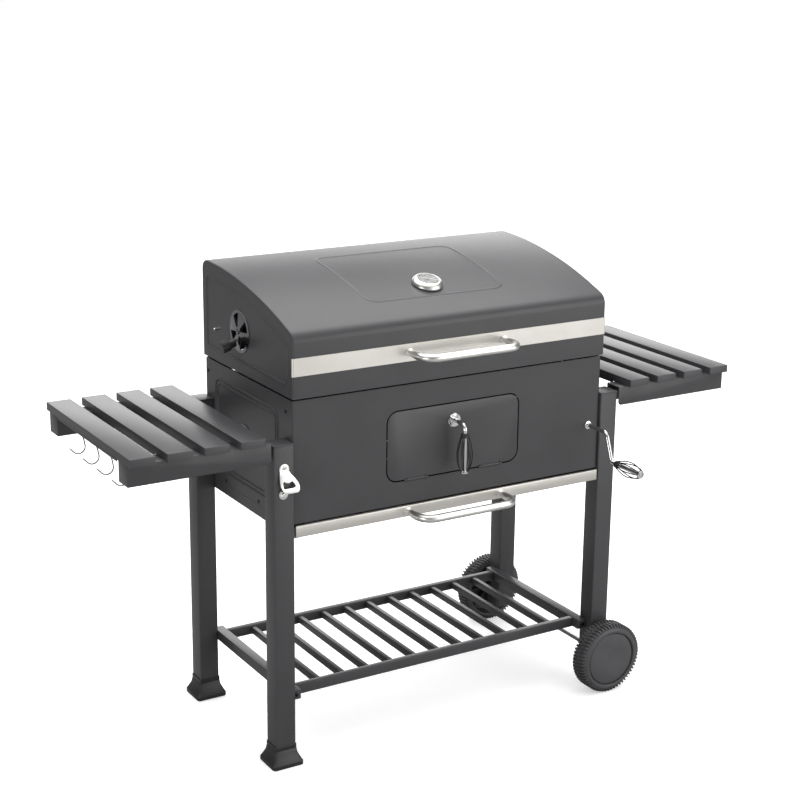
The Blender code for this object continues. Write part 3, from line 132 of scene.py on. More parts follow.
# Black polypropylene knobs and feet: darker, with a little more gloss than the wheels.
blackPlastic = varied("blackPolypropylene", {"IOR": 1.49}, "232324", "2a2a2b", 0.04, 0.34, 0.46, 0.0015, 0.00003)
# Hot-dip galvanised steel: dull grey with pale spangle, 8 mm across.
galvanised = varied("galvanisedSteel", {"Metallic": 1.0}, "8b8d8f", "a9abad", 0.008, 0.36, 0.5, 0.003, 0.00002)
# Black vitreous enamel: deep gloss with a ripple.
blackEnamel = varied("blackEnamel", {"IOR": 1.52}, "151515", "1b1b1b", 0.05, 0.18, 0.28, 0.006, 0.00006)
# Black oxide screws: dark metal with an oily sheen.
blackSteel = varied("blackOxideSteel", {"Metallic": 1.0}, "2b2b2c", "373738", 0.01, 0.30, 0.42, 0.001, 0.00002)
# Plated spring wire of the grips: dark bright wire.
springWire = varied("blackPlatedWire", {"Metallic": 1.0}, "3a3a3b", "4a4a4b", 0.02, 0.16, 0.24, 0.002, 0.00001)
# Chrome on pressed sheet, greyer than the rods: the grey base is painted dark reflection, as if the disc mirrored
# darker surroundings; soft dark and light patches.
discChromeDarkReflection = varied("chromeDiscPaintedDarkReflection", {"Metallic": 1.0}, "808184", "8c8d90", 0.03, 0.12, 0.2, 0.003, 0.000006)
# Zinc plated hook wire: grey metal, bright along its top only.
hookWire = varied("zincPlatedWire", {"Metallic": 1.0}, "8d8e90", "9b9c9e", 0.01, 0.14, 0.22, 0.002, 0.000004)
# Printed dial card: pale warm grey, matt.
dialCard = varied("printedDialCard", {"IOR": 1.45}, "8f908e", "979896", 0.02, 0.5, 0.6, 0.001, 0.00001)
# Screen-printed ink for marks and needle.
dialInk = varied("dialInk", {"IOR": 1.5}, "1f1f20", "262627", 0.01, 0.4, 0.5, 0.001, 0.00001)
# Clear soda-lime glass over the dial.
glassCover, glassTree, glassShader, glassPlace = newMaterial(
    "clearGlass", {"Base Color": (1, 1, 1, 1), "Roughness": 0.02, "IOR": 1.46, "Transmission Weight": 1.0})
glassWave = addNode(glassTree, "ShaderNodeTexNoise", {"Scale": 60.0}, {"Vector": glassPlace})
glassBump = addNode(glassTree, "ShaderNodeBump", {"Distance": 0.00002}, {"Height": glassWave.outputs["Fac"]})
glassTree.links.new(glassBump.outputs["Normal"], glassShader.inputs["Normal"])
finishOf = {"powder_coat": powderCoat, "black_enamel": blackEnamel, "stainless": brushedSheet,
            "chrome": chromePlate, "black_plastic": mouldedPlastic, "galvanised": galvanised,
            "wire_steel": springWire}
print("materials made:", len(bpy.data.materials))


# Shapes, all in metres about the middle of the legs. Each ends as a mesh with its normals outward.
def toMesh(bm):
    bmesh.ops.recalc_face_normals(bm, faces=bm.faces)
    mesh = bpy.data.meshes.new("shape")
    bm.to_mesh(mesh)
    bm.free()
    return mesh


def meshFrom(points, faces):
    bm = bmesh.new()
    verts = [bm.verts.new(p) for p in points]
    for face in faces:
        bm.faces.new([verts[i] for i in face])
    return toMesh(bm)


# Equal rings of points joined in order; ends capped unless closed on itself.
def ringLoft(rings, closed=False):
    count = len(rings[0])
    points = [p for ring in rings for p in ring]
    faces = []
    for i in range(len(rings) if closed else len(rings) - 1):
        a, b = i * count, (i + 1) % len(rings) * count
        for k in range(count):
            n = (k + 1) % count
            faces.append((a + k, a + n, b + n, b + k))
    if not closed:
        faces += [tuple(range(count)), tuple(range((len(rings) - 1) * count, len(rings) * count))]
    return meshFrom(points, faces)


def arc(centre, radius, start, end, steps):
    points = []
    for i in range(steps + 1):
        angle = math.radians(start + (end - start) * i / steps)
        points.append((centre[0] + radius * math.cos(angle), centre[1] + radius * math.sin(angle)))
    return points


def roundedRect(low, high, radius, steps=5):
    (a0, b0), (a1, b1) = low, high
    corners = [((a1 - radius, b0 + radius), -90), ((a1 - radius, b1 - radius), 0),
               ((a0 + radius, b1 - radius), 90), ((a0 + radius, b0 + radius), 180)]
    return [p for centre, start in corners for p in arc(centre, radius, start, start + 90, steps)]


axisPlace = {"x": lambda a, b, d: Vector((d, a, b)), "y": lambda a, b, d: Vector((a, d, b)),
             "z": lambda a, b, d: Vector((a, b, d))}


# An outline pushed along an axis, its sharp edges rounded.
def prism(outline, axis, low, high, bevel=0.0, segments=2):
    mesh = ringLoft([[axisPlace[axis](a, b, d) for a, b in outline] for d in (low, high)])
    return rounded(mesh, bevel, segments) if bevel else mesh


def sharpEdges(bm, angle):
    return [e for e in bm.edges if len(e.link_faces) == 2 and e.calc_face_angle(0) > math.radians(angle)]


def bevelEdges(bm, edges, width, segments):
    bmesh.ops.bevel(bm, geom=edges, offset=width, segments=segments, profile=0.5, affect="EDGES",
                    clamp_overlap=True)


def rounded(mesh, bevel, segments=2, sharp=35):
    bm = bmesh.new()
    bm.from_mesh(mesh)
    bevelEdges(bm, sharpEdges(bm, sharp), bevel, segments)
    return toMesh(bm)


def block(low, high, bevel=0.0, segments=3):
    outline = [(low[0], low[1]), (high[0], low[1]), (high[0], high[1]), (low[0], high[1])]
    return prism(outline, "z", low[2], high[2], bevel, segments)


# A pressed channel: rounded outside, open on one side, of even sheet.
def tray(low, high, bevel, wall, openSide="bottom", segments=3):
    bm = bmesh.new()
    bm.from_mesh(block(low, high))
    axis, edge = {"bottom": (2, low[2]), "top": (2, high[2]), "back": (1, high[1])}[openSide]
    onSide = lambda vert: abs(vert.co[axis] - edge) < 1e-5
    bevelEdges(bm, [e for e in bm.edges if not all(onSide(v) for v in e.verts)], bevel, segments)
    gone = [f for f in bm.faces if all(onSide(v) for v in f.verts)]
    bmesh.ops.delete(bm, geom=gone, context="FACES")
    bmesh.ops.recalc_face_normals(bm, faces=bm.faces)
    middle = (Vector(low) + Vector(high)) / 2
    face = max(bm.faces, key=lambda f: f.calc_area())
    if (face.calc_center_median() - middle).dot(face.normal) <= 0:
        bmesh.ops.reverse_faces(bm, faces=bm.faces)
    bmesh.ops.solidify(bm, geom=bm.faces[:], thickness=wall)
    return toMesh(bm)


# A round bar along a path, with a small rounded lip at each end.
def tube(path, radius, sides=20, radii=None):
    path = [Vector(p) for p in path]
    radii = list(radii or [radius] * len(path))
    lip = min(radii[0], radii[-1]) * 0.25
    lipStart = path[0] + (path[1] - path[0]).normalized() * lip
    lipEnd = path[-1] + (path[-2] - path[-1]).normalized() * lip
    path = [path[0], lipStart] + path[1:-1] + [lipEnd, path[-1]]
    radii = [radii[0] - lip, radii[0]] + radii[1:-1] + [radii[-1], radii[-1] - lip]
    last = len(path) - 1
    tangents = [(path[min(i + 1, last)] - path[max(i - 1, 0)]).normalized() for i in range(len(path))]
    turns = [2 * math.pi * k / sides for k in range(sides)]
    side = tangents[0].orthogonal().normalized()
    rings = []
    for i, centre in enumerate(path):
        if i:
            side = tangents[i - 1].rotation_difference(tangents[i]) @ side
        other = tangents[i].cross(side)
        rings.append([centre + radii[i] * (math.cos(a) * side + math.sin(a) * other) for a in turns])
    return ringLoft(rings)


def bentPath(corners, bends, steps=8):
    corners = [Vector(c) for c in corners]
    path = [corners[0]]
    for i, radius in enumerate(bends, start=1):
        here = corners[i]
        back, on = (corners[i - 1] - here).normalized(), (corners[i + 1] - here).normalized()
        half = back.angle(on) / 2
        reach = radius / math.tan(half)
        middle = here + (back + on).normalized() * (radius / math.sin(half))
        first, last = here + back * reach - middle, here + on * reach - middle
        turn = first.rotation_difference(last)
        path += [middle + Matrix.Rotation(turn.angle * k / steps, 3, turn.axis) @ first
                 for k in range(steps + 1)]
    return path + [corners[-1]]


# A closed profile of (radius, distance) pairs spun about an axis.
def lathe(profile, axis="z", centre=(0, 0, 0), steps=48):
    place = {"x": lambda r, a, d: (d, r * math.cos(a), r * math.sin(a)),
             "y": lambda r, a, d: (r * math.cos(a), d, r * math.sin(a)),
             "z": lambda r, a, d: (r * math.cos(a), r * math.sin(a), d)}[axis]
    bm = bmesh.new()
    rings = []
    for radius, distance in profile:
        turns = 1 if radius == 0 else steps
        rings.append([bm.verts.new(Vector(place(radius, 2 * math.pi * k / steps, distance)) + Vector(centre))
                      for k in range(turns)])
    for first, second in zip(rings, rings[1:] + rings[:1]):
        if len(first) == 1 and len(second) == 1:
            continue
        for k in range(steps):
            n = (k + 1) % steps
            corners = [first[k % len(first)], first[n % len(first)],
                       second[n % len(second)], second[k % len(second)]]
            bm.faces.new(list(dict.fromkeys(corners)))
    return toMesh(bm)


def moved(mesh, matrix):
    bm = bmesh.new()
    bm.from_mesh(mesh)
    bmesh.ops.transform(bm, matrix=matrix, verts=bm.verts)
    return toMesh(bm)


def mirrored(mesh, axis="x"):
    return moved(mesh, Matrix.Diagonal((-1, 1, 1, 1) if axis == "x" else (1, -1, 1, 1)))


# The shapes as drawn for the left, or their mirror images for the right
def forSide(meshes, side):
    return meshes if side < 0 else [mirrored(m) for m in meshes]


# Several closed shapes in one mesh.
def together(meshes):
    bm = bmesh.new()
    for mesh in meshes:
        bm.from_mesh(mesh)
    mesh = bpy.data.meshes.new("shapes")
    bm.to_mesh(mesh)
    bm.free()
    return mesh


# The mesh with the cutters' shapes taken out.
def cutOut(mesh, cutters):
    body = bpy.data.objects.new("cutting", mesh)
    bpy.context.scene.collection.objects.link(body)
    helpers = []
    for cutter in cutters:
        helper = bpy.data.objects.new("cutter", cutter)
        bpy.context.scene.collection.objects.link(helper)
        helpers.append(helper)
        modifier = body.modifiers.new("cut", "BOOLEAN")
        modifier.operation, modifier.solver, modifier.object = "DIFFERENCE", "EXACT", helper
    evaluated = body.evaluated_get(bpy.context.evaluated_depsgraph_get())
    result = bpy.data.meshes.new_from_object(evaluated)
    for item in helpers + [body]:
        bpy.data.objects.remove(item, do_unlink=True)
    return result


def addPiece(name, meshes, material, body, replaced=(), sharp=32):
    mesh = together(meshes if isinstance(meshes, list) else [meshes])
    mesh.name = name
    mesh.transform(Matrix.Translation((0, midY, 0)))
    mesh.materials.clear()
    mesh.materials.append(material)
    mesh.shade_smooth()
    mesh.set_sharp_from_angle(angle=math.radians(sharp))
    piece = bpy.data.objects.new(name, mesh)
    bpy.context.scene.collection.objects.link(piece)
    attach(piece, body)
    if replaced:
        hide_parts(*replaced)
    return piece


# A pressed ridge: a low rounded strip along a path on a surface.
def bead(path, normals, width, height, closed=True):
    path = [Vector(p) for p in path]
    normals = [Vector(n).normalized() for n in normals]
    sink = 0.0002
    rings = []
    for i, centre in enumerate(path):
        before = path[i - 1] if closed or i else path[0]
        after = path[(i + 1) % len(path)] if closed or i < len(path) - 1 else path[-1]
        across = (after - before).normalized().cross(normals[i])
        ring = []
        for k in range(9):
            part = k / 4 - 1
            rise = height * (0.5 + 0.5 * math.cos(math.pi * part))
            foot = sink if k in (0, 8) else 0
            ring.append(centre + across * (part * width / 2) + normals[i] * (rise - foot))
        ring += [centre + across * (side * width / 2) - normals[i] * sink * 2 for side in (1, -1)]
        rings.append(ring)
    return ringLoft(rings, closed)


# A closed flat loop with its sharp corners rounded.
def softCorners(points, reach, steps=6):
    loop = [Vector(p) for p in points]
    out = []
    for i, here in enumerate(loop):
        back, on = loop[i - 1] - here, loop[(i + 1) % len(loop)] - here
        if back.angle(on) > math.radians(165):
            out.append(here)
            continue
        first = here + back.normalized() * min(reach, back.length * 0.45)
        last = here + on.normalized() * min(reach, on.length * 0.45)
        for k in range(steps + 1):
            t = k / steps
            out.append(first * (1 - t) ** 2 + here * 2 * t * (1 - t) + last * t * t)
    return out


# A cross-recessed pan head
def screwHead(place, direction, radius=0.0042, height=0.0018):
    profile = [(0, -0.0008), (radius, -0.0008), (radius, height * 0.35), (radius * 0.8, height * 0.85),
               (radius * 0.5, height), (0, height)]
    head = lathe(profile, "z", steps=20)
    slots = [block((-radius * a, -radius * b, height * 0.35), (radius * a, radius * b, height * 2))
             for a, b in ((0.5, 0.12), (0.12, 0.5))]
    turn = Vector((0, 0, 1)).rotation_difference(Vector(direction)).to_matrix().to_4x4()
    return moved(cutOut(head, slots), Matrix.Translation(place) @ turn)


# Legs, feet, shelf
leg = {"inner": 0.4108, "outer": 0.4583, "face": 0.226, "back": 0.1785, "top": 0.7535, "corner": 0.0022,
       "sheet": 0.0015, "footTop": 0.0443, "wheelEnd": 0.058, "capLip": 0.001, "capHeight": 0.003,
       "foldX": 0.4843, "foldZ": 0.7358, "tongue": 0.008, "tongueSheet": 0.004, "pinRadius": 0.004}
for side, sideName in ((-1, "left"), (1, "right")):
    for end, endName in ((-1, "front"), (1, "rear")):
        xs = sorted((side * leg["inner"], side * leg["outer"]))
        ys = sorted((end * leg["back"], end * leg["face"]))
        low = leg["footTop"] if side < 0 else leg["wheelEnd"]
        postTop = leg["top"] - leg["corner"]
        post = tray((xs[0], ys[0], low), (xs[1], ys[1], postTop), leg["corner"], leg["sheet"])
        lip, capLow = leg["capLip"], leg["top"] - leg["capHeight"]
        capX = sorted((side * leg["inner"], side * (leg["outer"] + lip)))
        cap = block((capX[0], ys[0] - lip, capLow), (capX[1], ys[1] + lip, leg["top"]), 0.0009)
        # A tongue reaches out to the pin that the table's arm turns on.
        foldX, foldZ, half = side * leg["foldX"], leg["foldZ"], leg["tongue"]
        wall = end * (leg["back"] + 0.0035)
        tongueY = sorted((wall, wall + end * leg["tongueSheet"]))
        tongueX = sorted((side * (leg["outer"] - 0.001), side * (leg["foldX"] + half)))
        tongue = block((tongueX[0], tongueY[0], foldZ - half), (tongueX[1], tongueY[1], foldZ + half), 0.001)
        pin = tube([(foldX, wall, foldZ), (foldX, end * (leg["back"] - 0.0042), foldZ)], leg["pinRadius"])
        nutTop = 0.0034
        nutY = end * (leg["back"] - 0.001) - (nutTop if end > 0 else 0)
        nut = lathe([(0, 0), (0.0072, 0), (0.0072, 0.0024), (0.005, nutTop), (0, nutTop)], "y",
                    (foldX, nutY, foldZ), 24)
        addPiece("steelPost_" + endName + "_" + sideName, [post, cap, tongue, pin, nut], powderCoat, "stand",
                 ("leg_" + endName + "_" + sideName,))
print("legs made")

foot = {"half": 0.02375, "flare": 0.014, "band": 0.012, "top": 0.050, "collar": 0.011}
for end, endName in ((-1, "front"), (1, "rear")):
    centre = (-(leg["inner"] + leg["outer"]) / 2, end * (leg["face"] + leg["back"]) / 2)
    half, top, neck = foot["half"], foot["top"], foot["top"] - foot["collar"]
    base = half + foot["flare"]
    # Half width, height and corner radius, from the floor up
    levels = [(base - 0.002, 0.0, 0.006), (base, 0.0015, 0.007), (base, foot["band"] - 0.002, 0.007),
              (base - 0.0015, foot["band"], 0.007), (base - foot["flare"] * 0.42, 0.0205, 0.006),
              (base - foot["flare"] * 0.72, 0.0295, 0.005), (half + 0.0022, neck, 0.004),
              (half + 0.0016, neck + 0.001, 0.004), (half + 0.002, neck + 0.002, 0.004),
              (half + 0.002, top - 0.001, 0.004), (half + 0.0012, top, 0.0038),
              (half + 0.0004, top, 0.0035), (half + 0.0004, top - 0.006, 0.0035)]
    rings = []
    for size, z, corner in levels:
        outline = roundedRect((centre[0] - size, centre[1] - size), (centre[0] + size, centre[1] + size), corner, 4)
        rings.append([Vector((a, b, z)) for a, b in outline])
    addPiece("flaredFoot_" + endName, ringLoft(rings), blackPlastic, "stand",
             ("foot_" + endName,))

shelf = {"top": 0.168, "height": 0.023, "endWidth": 0.025, "overrun": 0.021, "longCentre": 0.176, "longWidth": 0.015,
         "bars": 11, "barWidth": 0.012, "barDrop": 0.003, "barHeight": 0.016, "fit": 0.0003, "lap": 0.0007,
         "boltX": 0.398, "boltY": 0.2053, "boltZ": 0.1565}
railOuter = leg["inner"] - shelf["fit"]
railInner = railOuter - shelf["endWidth"]
railLow, railEnd = shelf["top"] - shelf["height"], leg["face"] - shelf["overrun"]
for side, sideName in ((-1, "left"), (1, "right")):
    xs = sorted((side * railOuter, side * railInner))
    rail = tray((xs[0], -railEnd, railLow), (xs[1], railEnd, shelf["top"]), 0.002, 0.0015)
    addPiece("shelfRail_" + sideName, rail, powderCoat, "stand", ("shelf_end_" + sideName,))
gridHalf = railInner - shelf["fit"]
longInner, longOuter = (shelf["longCentre"] + edge * shelf["longWidth"] / 2 for edge in (-1, 1))
grid = []
for side in (-1, 1):
    ys = sorted((side * longInner, side * longOuter))
    grid.append(tray((-gridHalf, ys[0], railLow), (gridHalf, ys[1], shelf["top"]), 0.0018, 0.0015))
barPitch = 2 * railInner / (shelf["bars"] + 1)
barReach, barHalf = longInner + shelf["lap"], shelf["barWidth"] / 2
barTop = shelf["top"] - shelf["barDrop"]
for i in range(shelf["bars"]):
    x = (i - (shelf["bars"] - 1) / 2) * barPitch
    grid.append(tray((x - barHalf, -barReach, barTop - shelf["barHeight"]), (x + barHalf, barReach, barTop),
                     0.0016, 0.0012))
addPiece("shelfGrid", grid, powderCoat, "stand", ("shelf_grid",))
shelfBolts = [screwHead((side * shelf["boltX"], end * shelf["boltY"], shelf["boltZ"]), (0, end, 0), 0.005, 0.003)
              for side in (-1, 1) for end in (-1, 1)]
addPiece("shelfBolts", shelfBolts, blackSteel, "stand")
print("feet and shelf made")

# Wheels: hub cap with a dark groove, ring, two rows of chevron lugs and a centre ridge
wheel = {"radius": 0.088, "width": 0.050, "capRadius": 0.0648, "faceRadius": 0.0768, "treadRadius": 0.0842,
         "x": 0.42855, "front": 0.241, "rear": 0.230, "lugs": 60, "lugEdge": 0.0034, "lugMiddle": 0.0225,
         "shoulderDrop": 0.0042, "ribs": 8}


# Drawn from the outer face inwards: side is -1 for the front wheel and 1 for the rear one.
def wheelMesh(outer, side):
    cap, rim, tread, top = wheel["capRadius"], wheel["faceRadius"], wheel["treadRadius"], wheel["radius"]
    width, drop, axleX = wheel["width"], wheel["shoulderDrop"], wheel["x"]
    profile = [(0, 0.0024), (0.030, 0.0024), (cap - 0.003, 0.0028), (cap - 0.001, 0.0034), (cap, 0.0042),
               (cap + 0.0006, 0.0075), (cap + 0.0022, 0.0075), (cap + 0.003, 0.0012), (cap + 0.0045, 0.0002),
               (rim - 0.003, 0.0002), (rim, 0.0022), (tread - drop, 0.0050), (tread - 0.001, 0.0095),
               (tread, 0.014), (tread, width - 0.014), (tread - 0.001, width - 0.0095),
               (tread - drop, width - 0.005), (rim, width - 0.002), (rim - 0.003, width - 0.001),
               (rim - 0.006, width - 0.002), (rim - 0.010, 0.016), (0.020, 0.011), (0.0145, 0.013),
               (0.013, width), (0.0055, width), (0.0055, 0.013), (0, 0.013)]
    ridge = [(tread - 0.001, width / 2 - 0.0018), (top - 0.0004, width / 2 - 0.0010),
             (top - 0.0004, width / 2 + 0.0010), (tread - 0.001, width / 2 + 0.0018)]
    shapes = [lathe([(r, side * (outer - d)) for r, d in line], "y", (axleX, 0, top), 96)
              for line in (profile, ridge)]
    lugPoints, lugFaces = [], []
    # Each lug runs from the side ring to the centre ridge, slanted, its outer end lower.
    edge, middle = wheel["lugEdge"], wheel["lugMiddle"]
    for row, (near, far) in enumerate(((edge, middle), (width - edge, width - middle))):
        for i in range(wheel["lugs"]):
            base = len(lugPoints)
            for depth, shift, fall in ((near, 0.0, drop), (near + (far - near) * 0.22, 0.08, 0.0), (far, 0.36, 0.0)):
                for reach in (tread - 0.0030 - fall, top - 0.0001 - fall):
                    half = 0.26 if reach < tread - fall else 0.19    # in lug spacings, wider at the root
                    for sign in (-1, 1):
                        angle = 2 * math.pi * (i + shift + sign * half + 0.5 * row) / wheel["lugs"]
                        lugPoints.append((axleX + reach * math.cos(angle), side * (outer - depth),
                                          top + reach * math.sin(angle)))
            lugFaces += [tuple(base + k for k in face) for face in
                         ((0, 1, 3, 2), (8, 10, 11, 9), (0, 4, 5, 1), (4, 8, 9, 5), (2, 3, 7, 6),
                          (6, 7, 11, 10), (0, 2, 6, 4), (4, 6, 10, 8), (1, 5, 7, 3), (5, 9, 11, 7))]
    shapes.append(meshFrom(lugPoints, lugFaces))
    rib = block((0.0135, -0.0016, 0), (rim - 0.011, 0.0016, 0.018), 0.0006, 2)
    hub = Matrix.Translation((axleX, side * (outer - 0.012), top)) @ Matrix.Rotation(math.radians(90 * side), 4, "X")
    for i in range(wheel["ribs"]):
        shapes.append(moved(rib, hub @ Matrix.Rotation(2 * math.pi * i / wheel["ribs"], 4, "Z")))
    return together(shapes)


for side, where in ((-1, "front"), (1, "rear")):
    addPiece("trolleyWheel_" + where, wheelMesh(wheel[where] + wheel["width"], side), mouldedPlastic,
             "wheel_" + where, ("wheel_" + where,))
print("wheels made")


# Hood: one pressed skin with rolled side edges, side plates, pressed ridges
def hoodOutline(inset, bottom):
    h = hood
    frontZ, backZ = h["low"] + h["frontHeight"], h["low"] + h["backHeight"]
    chord = Vector((2 * h["face"], backZ - frontZ))
    rise = math.sqrt(h["crownRadius"] ** 2 - (chord.length / 2) ** 2)
    centre = Vector((0, (frontZ + backZ) / 2)) + Vector((chord.y, -chord.x)).normalized() * rise
    radius, wall = h["crownRadius"] - inset, h["face"] - inset
    bends = []
    for side, bend in ((-1, h["frontBend"] - inset), (1, h["backBend"] - inset)):
        middleY = side * (wall - bend)
        reach = math.sqrt((radius - bend) ** 2 - (middleY - centre.x) ** 2)
        middle = Vector((middleY, centre.y + reach))
        bends.append((middle, bend, math.degrees(math.atan2(middle.y - centre.y, middle.x - centre.x))))
    (frontMid, frontBend, frontTouch), (backMid, backBend, backTouch) = bends
    points = [(-wall, bottom)] + arc(frontMid, frontBend, 180, frontTouch, 10)
    points += arc(centre, radius, frontTouch, backTouch, 28)[1:-1] + arc(backMid, backBend, backTouch, 0, 10)
    return points + [(wall, bottom)]


hoodSkinPoints = hoodOutline(0, hood["low"] + hood["seam"])


def crownAt(y):
    for first, second in zip(hoodSkinPoints, hoodSkinPoints[1:]):
        if first[0] <= y <= second[0] and second[0] - first[0] > 1e-6:
            slope = (second[1] - first[1]) / (second[0] - first[0])
            return first[1] + slope * (y - first[0]), slope
    return hoodSkinPoints[0][1], 0.0


# Rings across the hood: over the rolled left edge, across, down the right edge and back inside.
roll, hoodHalf, sheet = hood["edgeRadius"], hood["halfWidth"], firebox["sheet"]
skinLow = hood["low"] + hood["seam"]
stations = []
for k in range(6):
    angle = math.radians(90 * k / 5)
    stations.append((-hoodHalf + roll * (1 - math.cos(angle)), roll * (1 - math.sin(angle))))
outerLoops = stations + [(-x, inset) for x, inset in reversed(stations)]
innerLoops = [(hoodHalf - 0.0016, roll), (hoodHalf - roll, sheet), (-hoodHalf + roll, sheet),
              (-hoodHalf + 0.0016, roll)]
rings = []
for x, inset in outerLoops + innerLoops:
    rings.append([Vector((x, y, z)) for y, z in hoodOutline(inset, skinLow)])
count = len(rings[0])
faces = []
for i in range(len(rings)):
    a, b = i * count, (i + 1) % len(rings) * count
    faces += [(a + k, a + k + 1, b + k + 1, b + k) for k in range(count - 1)]
faces += [tuple(i * count + last for i in range(len(rings))) for last in (0, count - 1)]
hoodSkin = meshFrom([p for ring in rings for p in ring], faces)
knuckles = []
for side in (-1, 1):
    low, high = (side * hinge["x"] + edge * hinge["half"] for edge in (-1, 1))
    knuckles.append(tube([(low, hinge["y"], hinge["z"]), (high, hinge["y"], hinge["z"])], 0.005))
    knuckles.append(block((low, hood["face"] - 0.0008, hood["low"]), (high, hinge["y"], hinge["z"] - 0.0034)))
addPiece("hoodSkin", [hoodSkin] + knuckles, powderCoat, "hood", ("hood_shell",))

vent = {"radius": 0.0487, "turn": 66.0, "windowAngle": 37.0, "outer": 0.0412, "inner": 0.0115, "dome": 0.0030,
        "rim": 0.0440, "standoff": 0.0010, "sheet": 0.0013,
        "hood": (-0.4122, 0.028, 0.945), "firebox": (-0.4105, 0.013, 0.683)}


def windowCutters(x, centreY, centreZ):
    cutters = []
    for i in range(4):
        middle = vent["turn"] + 90 * i
        low, high = middle - vent["windowAngle"] / 2, middle + vent["windowAngle"] / 2
        outline = arc((centreY, centreZ), vent["outer"], low, high, 8)
        outline += arc((centreY, centreZ), vent["inner"], high, low, 4)
        cutters.append(prism(outline, "x", x - 0.006, x + 0.006))
    return cutters


# The pressed frame follows the hood's top edge; a short stop pin stands beside the vent.
hoodFrame = {"reach": 0.200, "low": 0.878, "drop": 0.034, "corner": 0.016, "width": 0.0075, "rise": 0.0022}
stopPin = {"y": 0.145, "z": 0.926, "radius": 0.0032, "length": 0.010}
for side, sideName in ((-1, "left"), (1, "right")):
    plate = prism(hoodOutline(roll, skinLow + 0.0003), "x", -hoodHalf, -hoodHalf + sheet)
    plate = cutOut(plate, windowCutters(-hoodHalf, *vent["hood"][1:]))
    reach = hoodFrame["reach"]
    top = [(y, crownAt(y)[0] - hoodFrame["drop"], 0) for y in [-reach + 2 * reach * k / 24 for k in range(25)]]
    loop = softCorners([(-reach, hoodFrame["low"], 0)] + top + [(reach, hoodFrame["low"], 0)], hoodFrame["corner"])
    path = [(-hoodHalf, p.x, p.y) for p in loop]
    ridge = bead(path, [(-1, 0, 0)] * len(path), hoodFrame["width"], hoodFrame["rise"])
    radius, length = stopPin["radius"], stopPin["length"]
    stub = lathe([(0, 0), (radius, 0), (radius, length - 0.0015), (radius - 0.001, length), (0, length)], "x",
                 steps=20)
    stubPlace = Matrix.Translation((-hoodHalf + 0.001, stopPin["y"], stopPin["z"]))
    stub = moved(stub, stubPlace @ Matrix.Rotation(math.pi, 4, "Z"))
    addPiece("hoodSide_" + sideName, forSide([plate, ridge], side), powderCoat, "hood",
             ("hood_end_" + sideName,))
    addPiece("hoodStopPin_" + sideName, forSide([stub], side), chromePlate, "hood")

panel = {"halfX": 0.182, "front": -0.143, "rear": 0.120, "corner": 0.034}
loop = softCorners([(-panel["halfX"], panel["front"], 0), (panel["halfX"], panel["front"], 0),
                    (panel["halfX"], panel["rear"], 0), (-panel["halfX"], panel["rear"], 0)], panel["corner"], 9)
dense = []
for first, second in zip(loop, loop[1:] + loop[:1]):
    steps = max(1, int((second - first).length / 0.012))
    dense += [first.lerp(second, k / steps) for k in range(steps)]
path = [(p.x, p.y, crownAt(p.y)[0]) for p in dense]
normals = [(0, -crownAt(p.y)[1], 1) for p in dense]
addPiece("hoodTopRidge", bead(path, normals, 0.0085, 0.0013), powderCoat, "hood")
print("hood made")


# Firebox: rolled corners, door opening, vents, ridges
# Outline, seen from above, of a plate of even sheet with its two upright edges rolled back. The rolled
# corners are centred depth behind the face.
def rolledOutline(half, face, radius, sheet, depth):
    left, right = (-half + radius, -face + depth), (half - radius, -face + depth)
    thin = radius - sheet
    return (arc(left, radius, 180, 270, 6) + arc(right, radius, 270, 360, 6)
            + arc(right, thin, 360, 270, 6) + arc(left, thin, 270, 180, 6))


door = {"halfWidth": 0.175, "bottom": 0.6235, "height": 0.161, "corner": 0.026, "gap": 0.0030, "sheet": 0.0015,
        "axisY": -0.2195, "axisZ": 0.6225, "pinRadius": 0.0012,
        "barrelX": 0.100, "barrelHalf": 0.0247, "barrelRadius": 0.0026, "eyeWidth": 0.006, "recess": 0.0036}
latch = {"z": 0.745, "rod": 0.005, "standoff": 0.045, "bend": 0.014, "drop": 0.114}
crank = {"x": 0.3804, "z": 0.6775, "rod": 0.005, "standoff": 0.072, "slant": 0.0245, "drop": 0.066}
cutFront, cutBack = -0.24, -0.20    # cutting shapes run well through the front panel


def holeCutter(x, z, radius, ends=(cutFront, cutBack)):
    return tube([(x, ends[0], z), (x, ends[1], z)], radius)


def alongX(middle, half, radius, sides=20):
    return tube([(middle - half, door["axisY"], door["axisZ"]), (middle + half, door["axisY"], door["axisZ"])],
                radius, sides)


gap, doorTop = door["gap"], door["bottom"] + door["height"]
openHalf = door["halfWidth"] + gap
opening = prism(roundedRect((-openHalf, door["bottom"] - gap), (openHalf, doorTop + gap), door["corner"] + gap, 10),
                "y", cutFront, cutBack)
# The door turns in eyes fixed to the panel; the panel is notched behind its barrels.
eyes, notches = [], []
for side in (-1, 1):
    middle, eyeStart = side * door["barrelX"], 0.0256
    notches.append(block((middle - 0.0253, cutFront, door["axisZ"] - door["recess"]),
                         (middle + 0.0253, cutBack, door["axisZ"] + door["recess"])))
    for edge in (-1, 1):
        xs = sorted((middle + edge * eyeStart, middle + edge * (eyeStart + door["eyeWidth"])))
        eyes.append(tube([(x, door["axisY"], door["axisZ"]) for x in xs], door["barrelRadius"]))
        eyes.append(block((xs[0], door["axisY"], door["axisZ"] - 0.0056), (xs[1], -0.2178, door["axisZ"])))
ledge = {"half": 0.3985, "front": -0.2180, "back": -0.2015, "z": 0.8162}
grateLedge = block((-ledge["half"], ledge["front"], ledge["z"]), (ledge["half"], ledge["back"], ledge["z"] + sheet),
                   0.0005, 1)
edgeRadius = firebox["edgeRadius"]
frontPlate = prism(rolledOutline(firebox["halfWidth"], firebox["halfDepth"], edgeRadius, sheet, edgeRadius), "z",
                   firebox["bottom"], firebox["top"])
rearPlate = mirrored(frontPlate, "y")
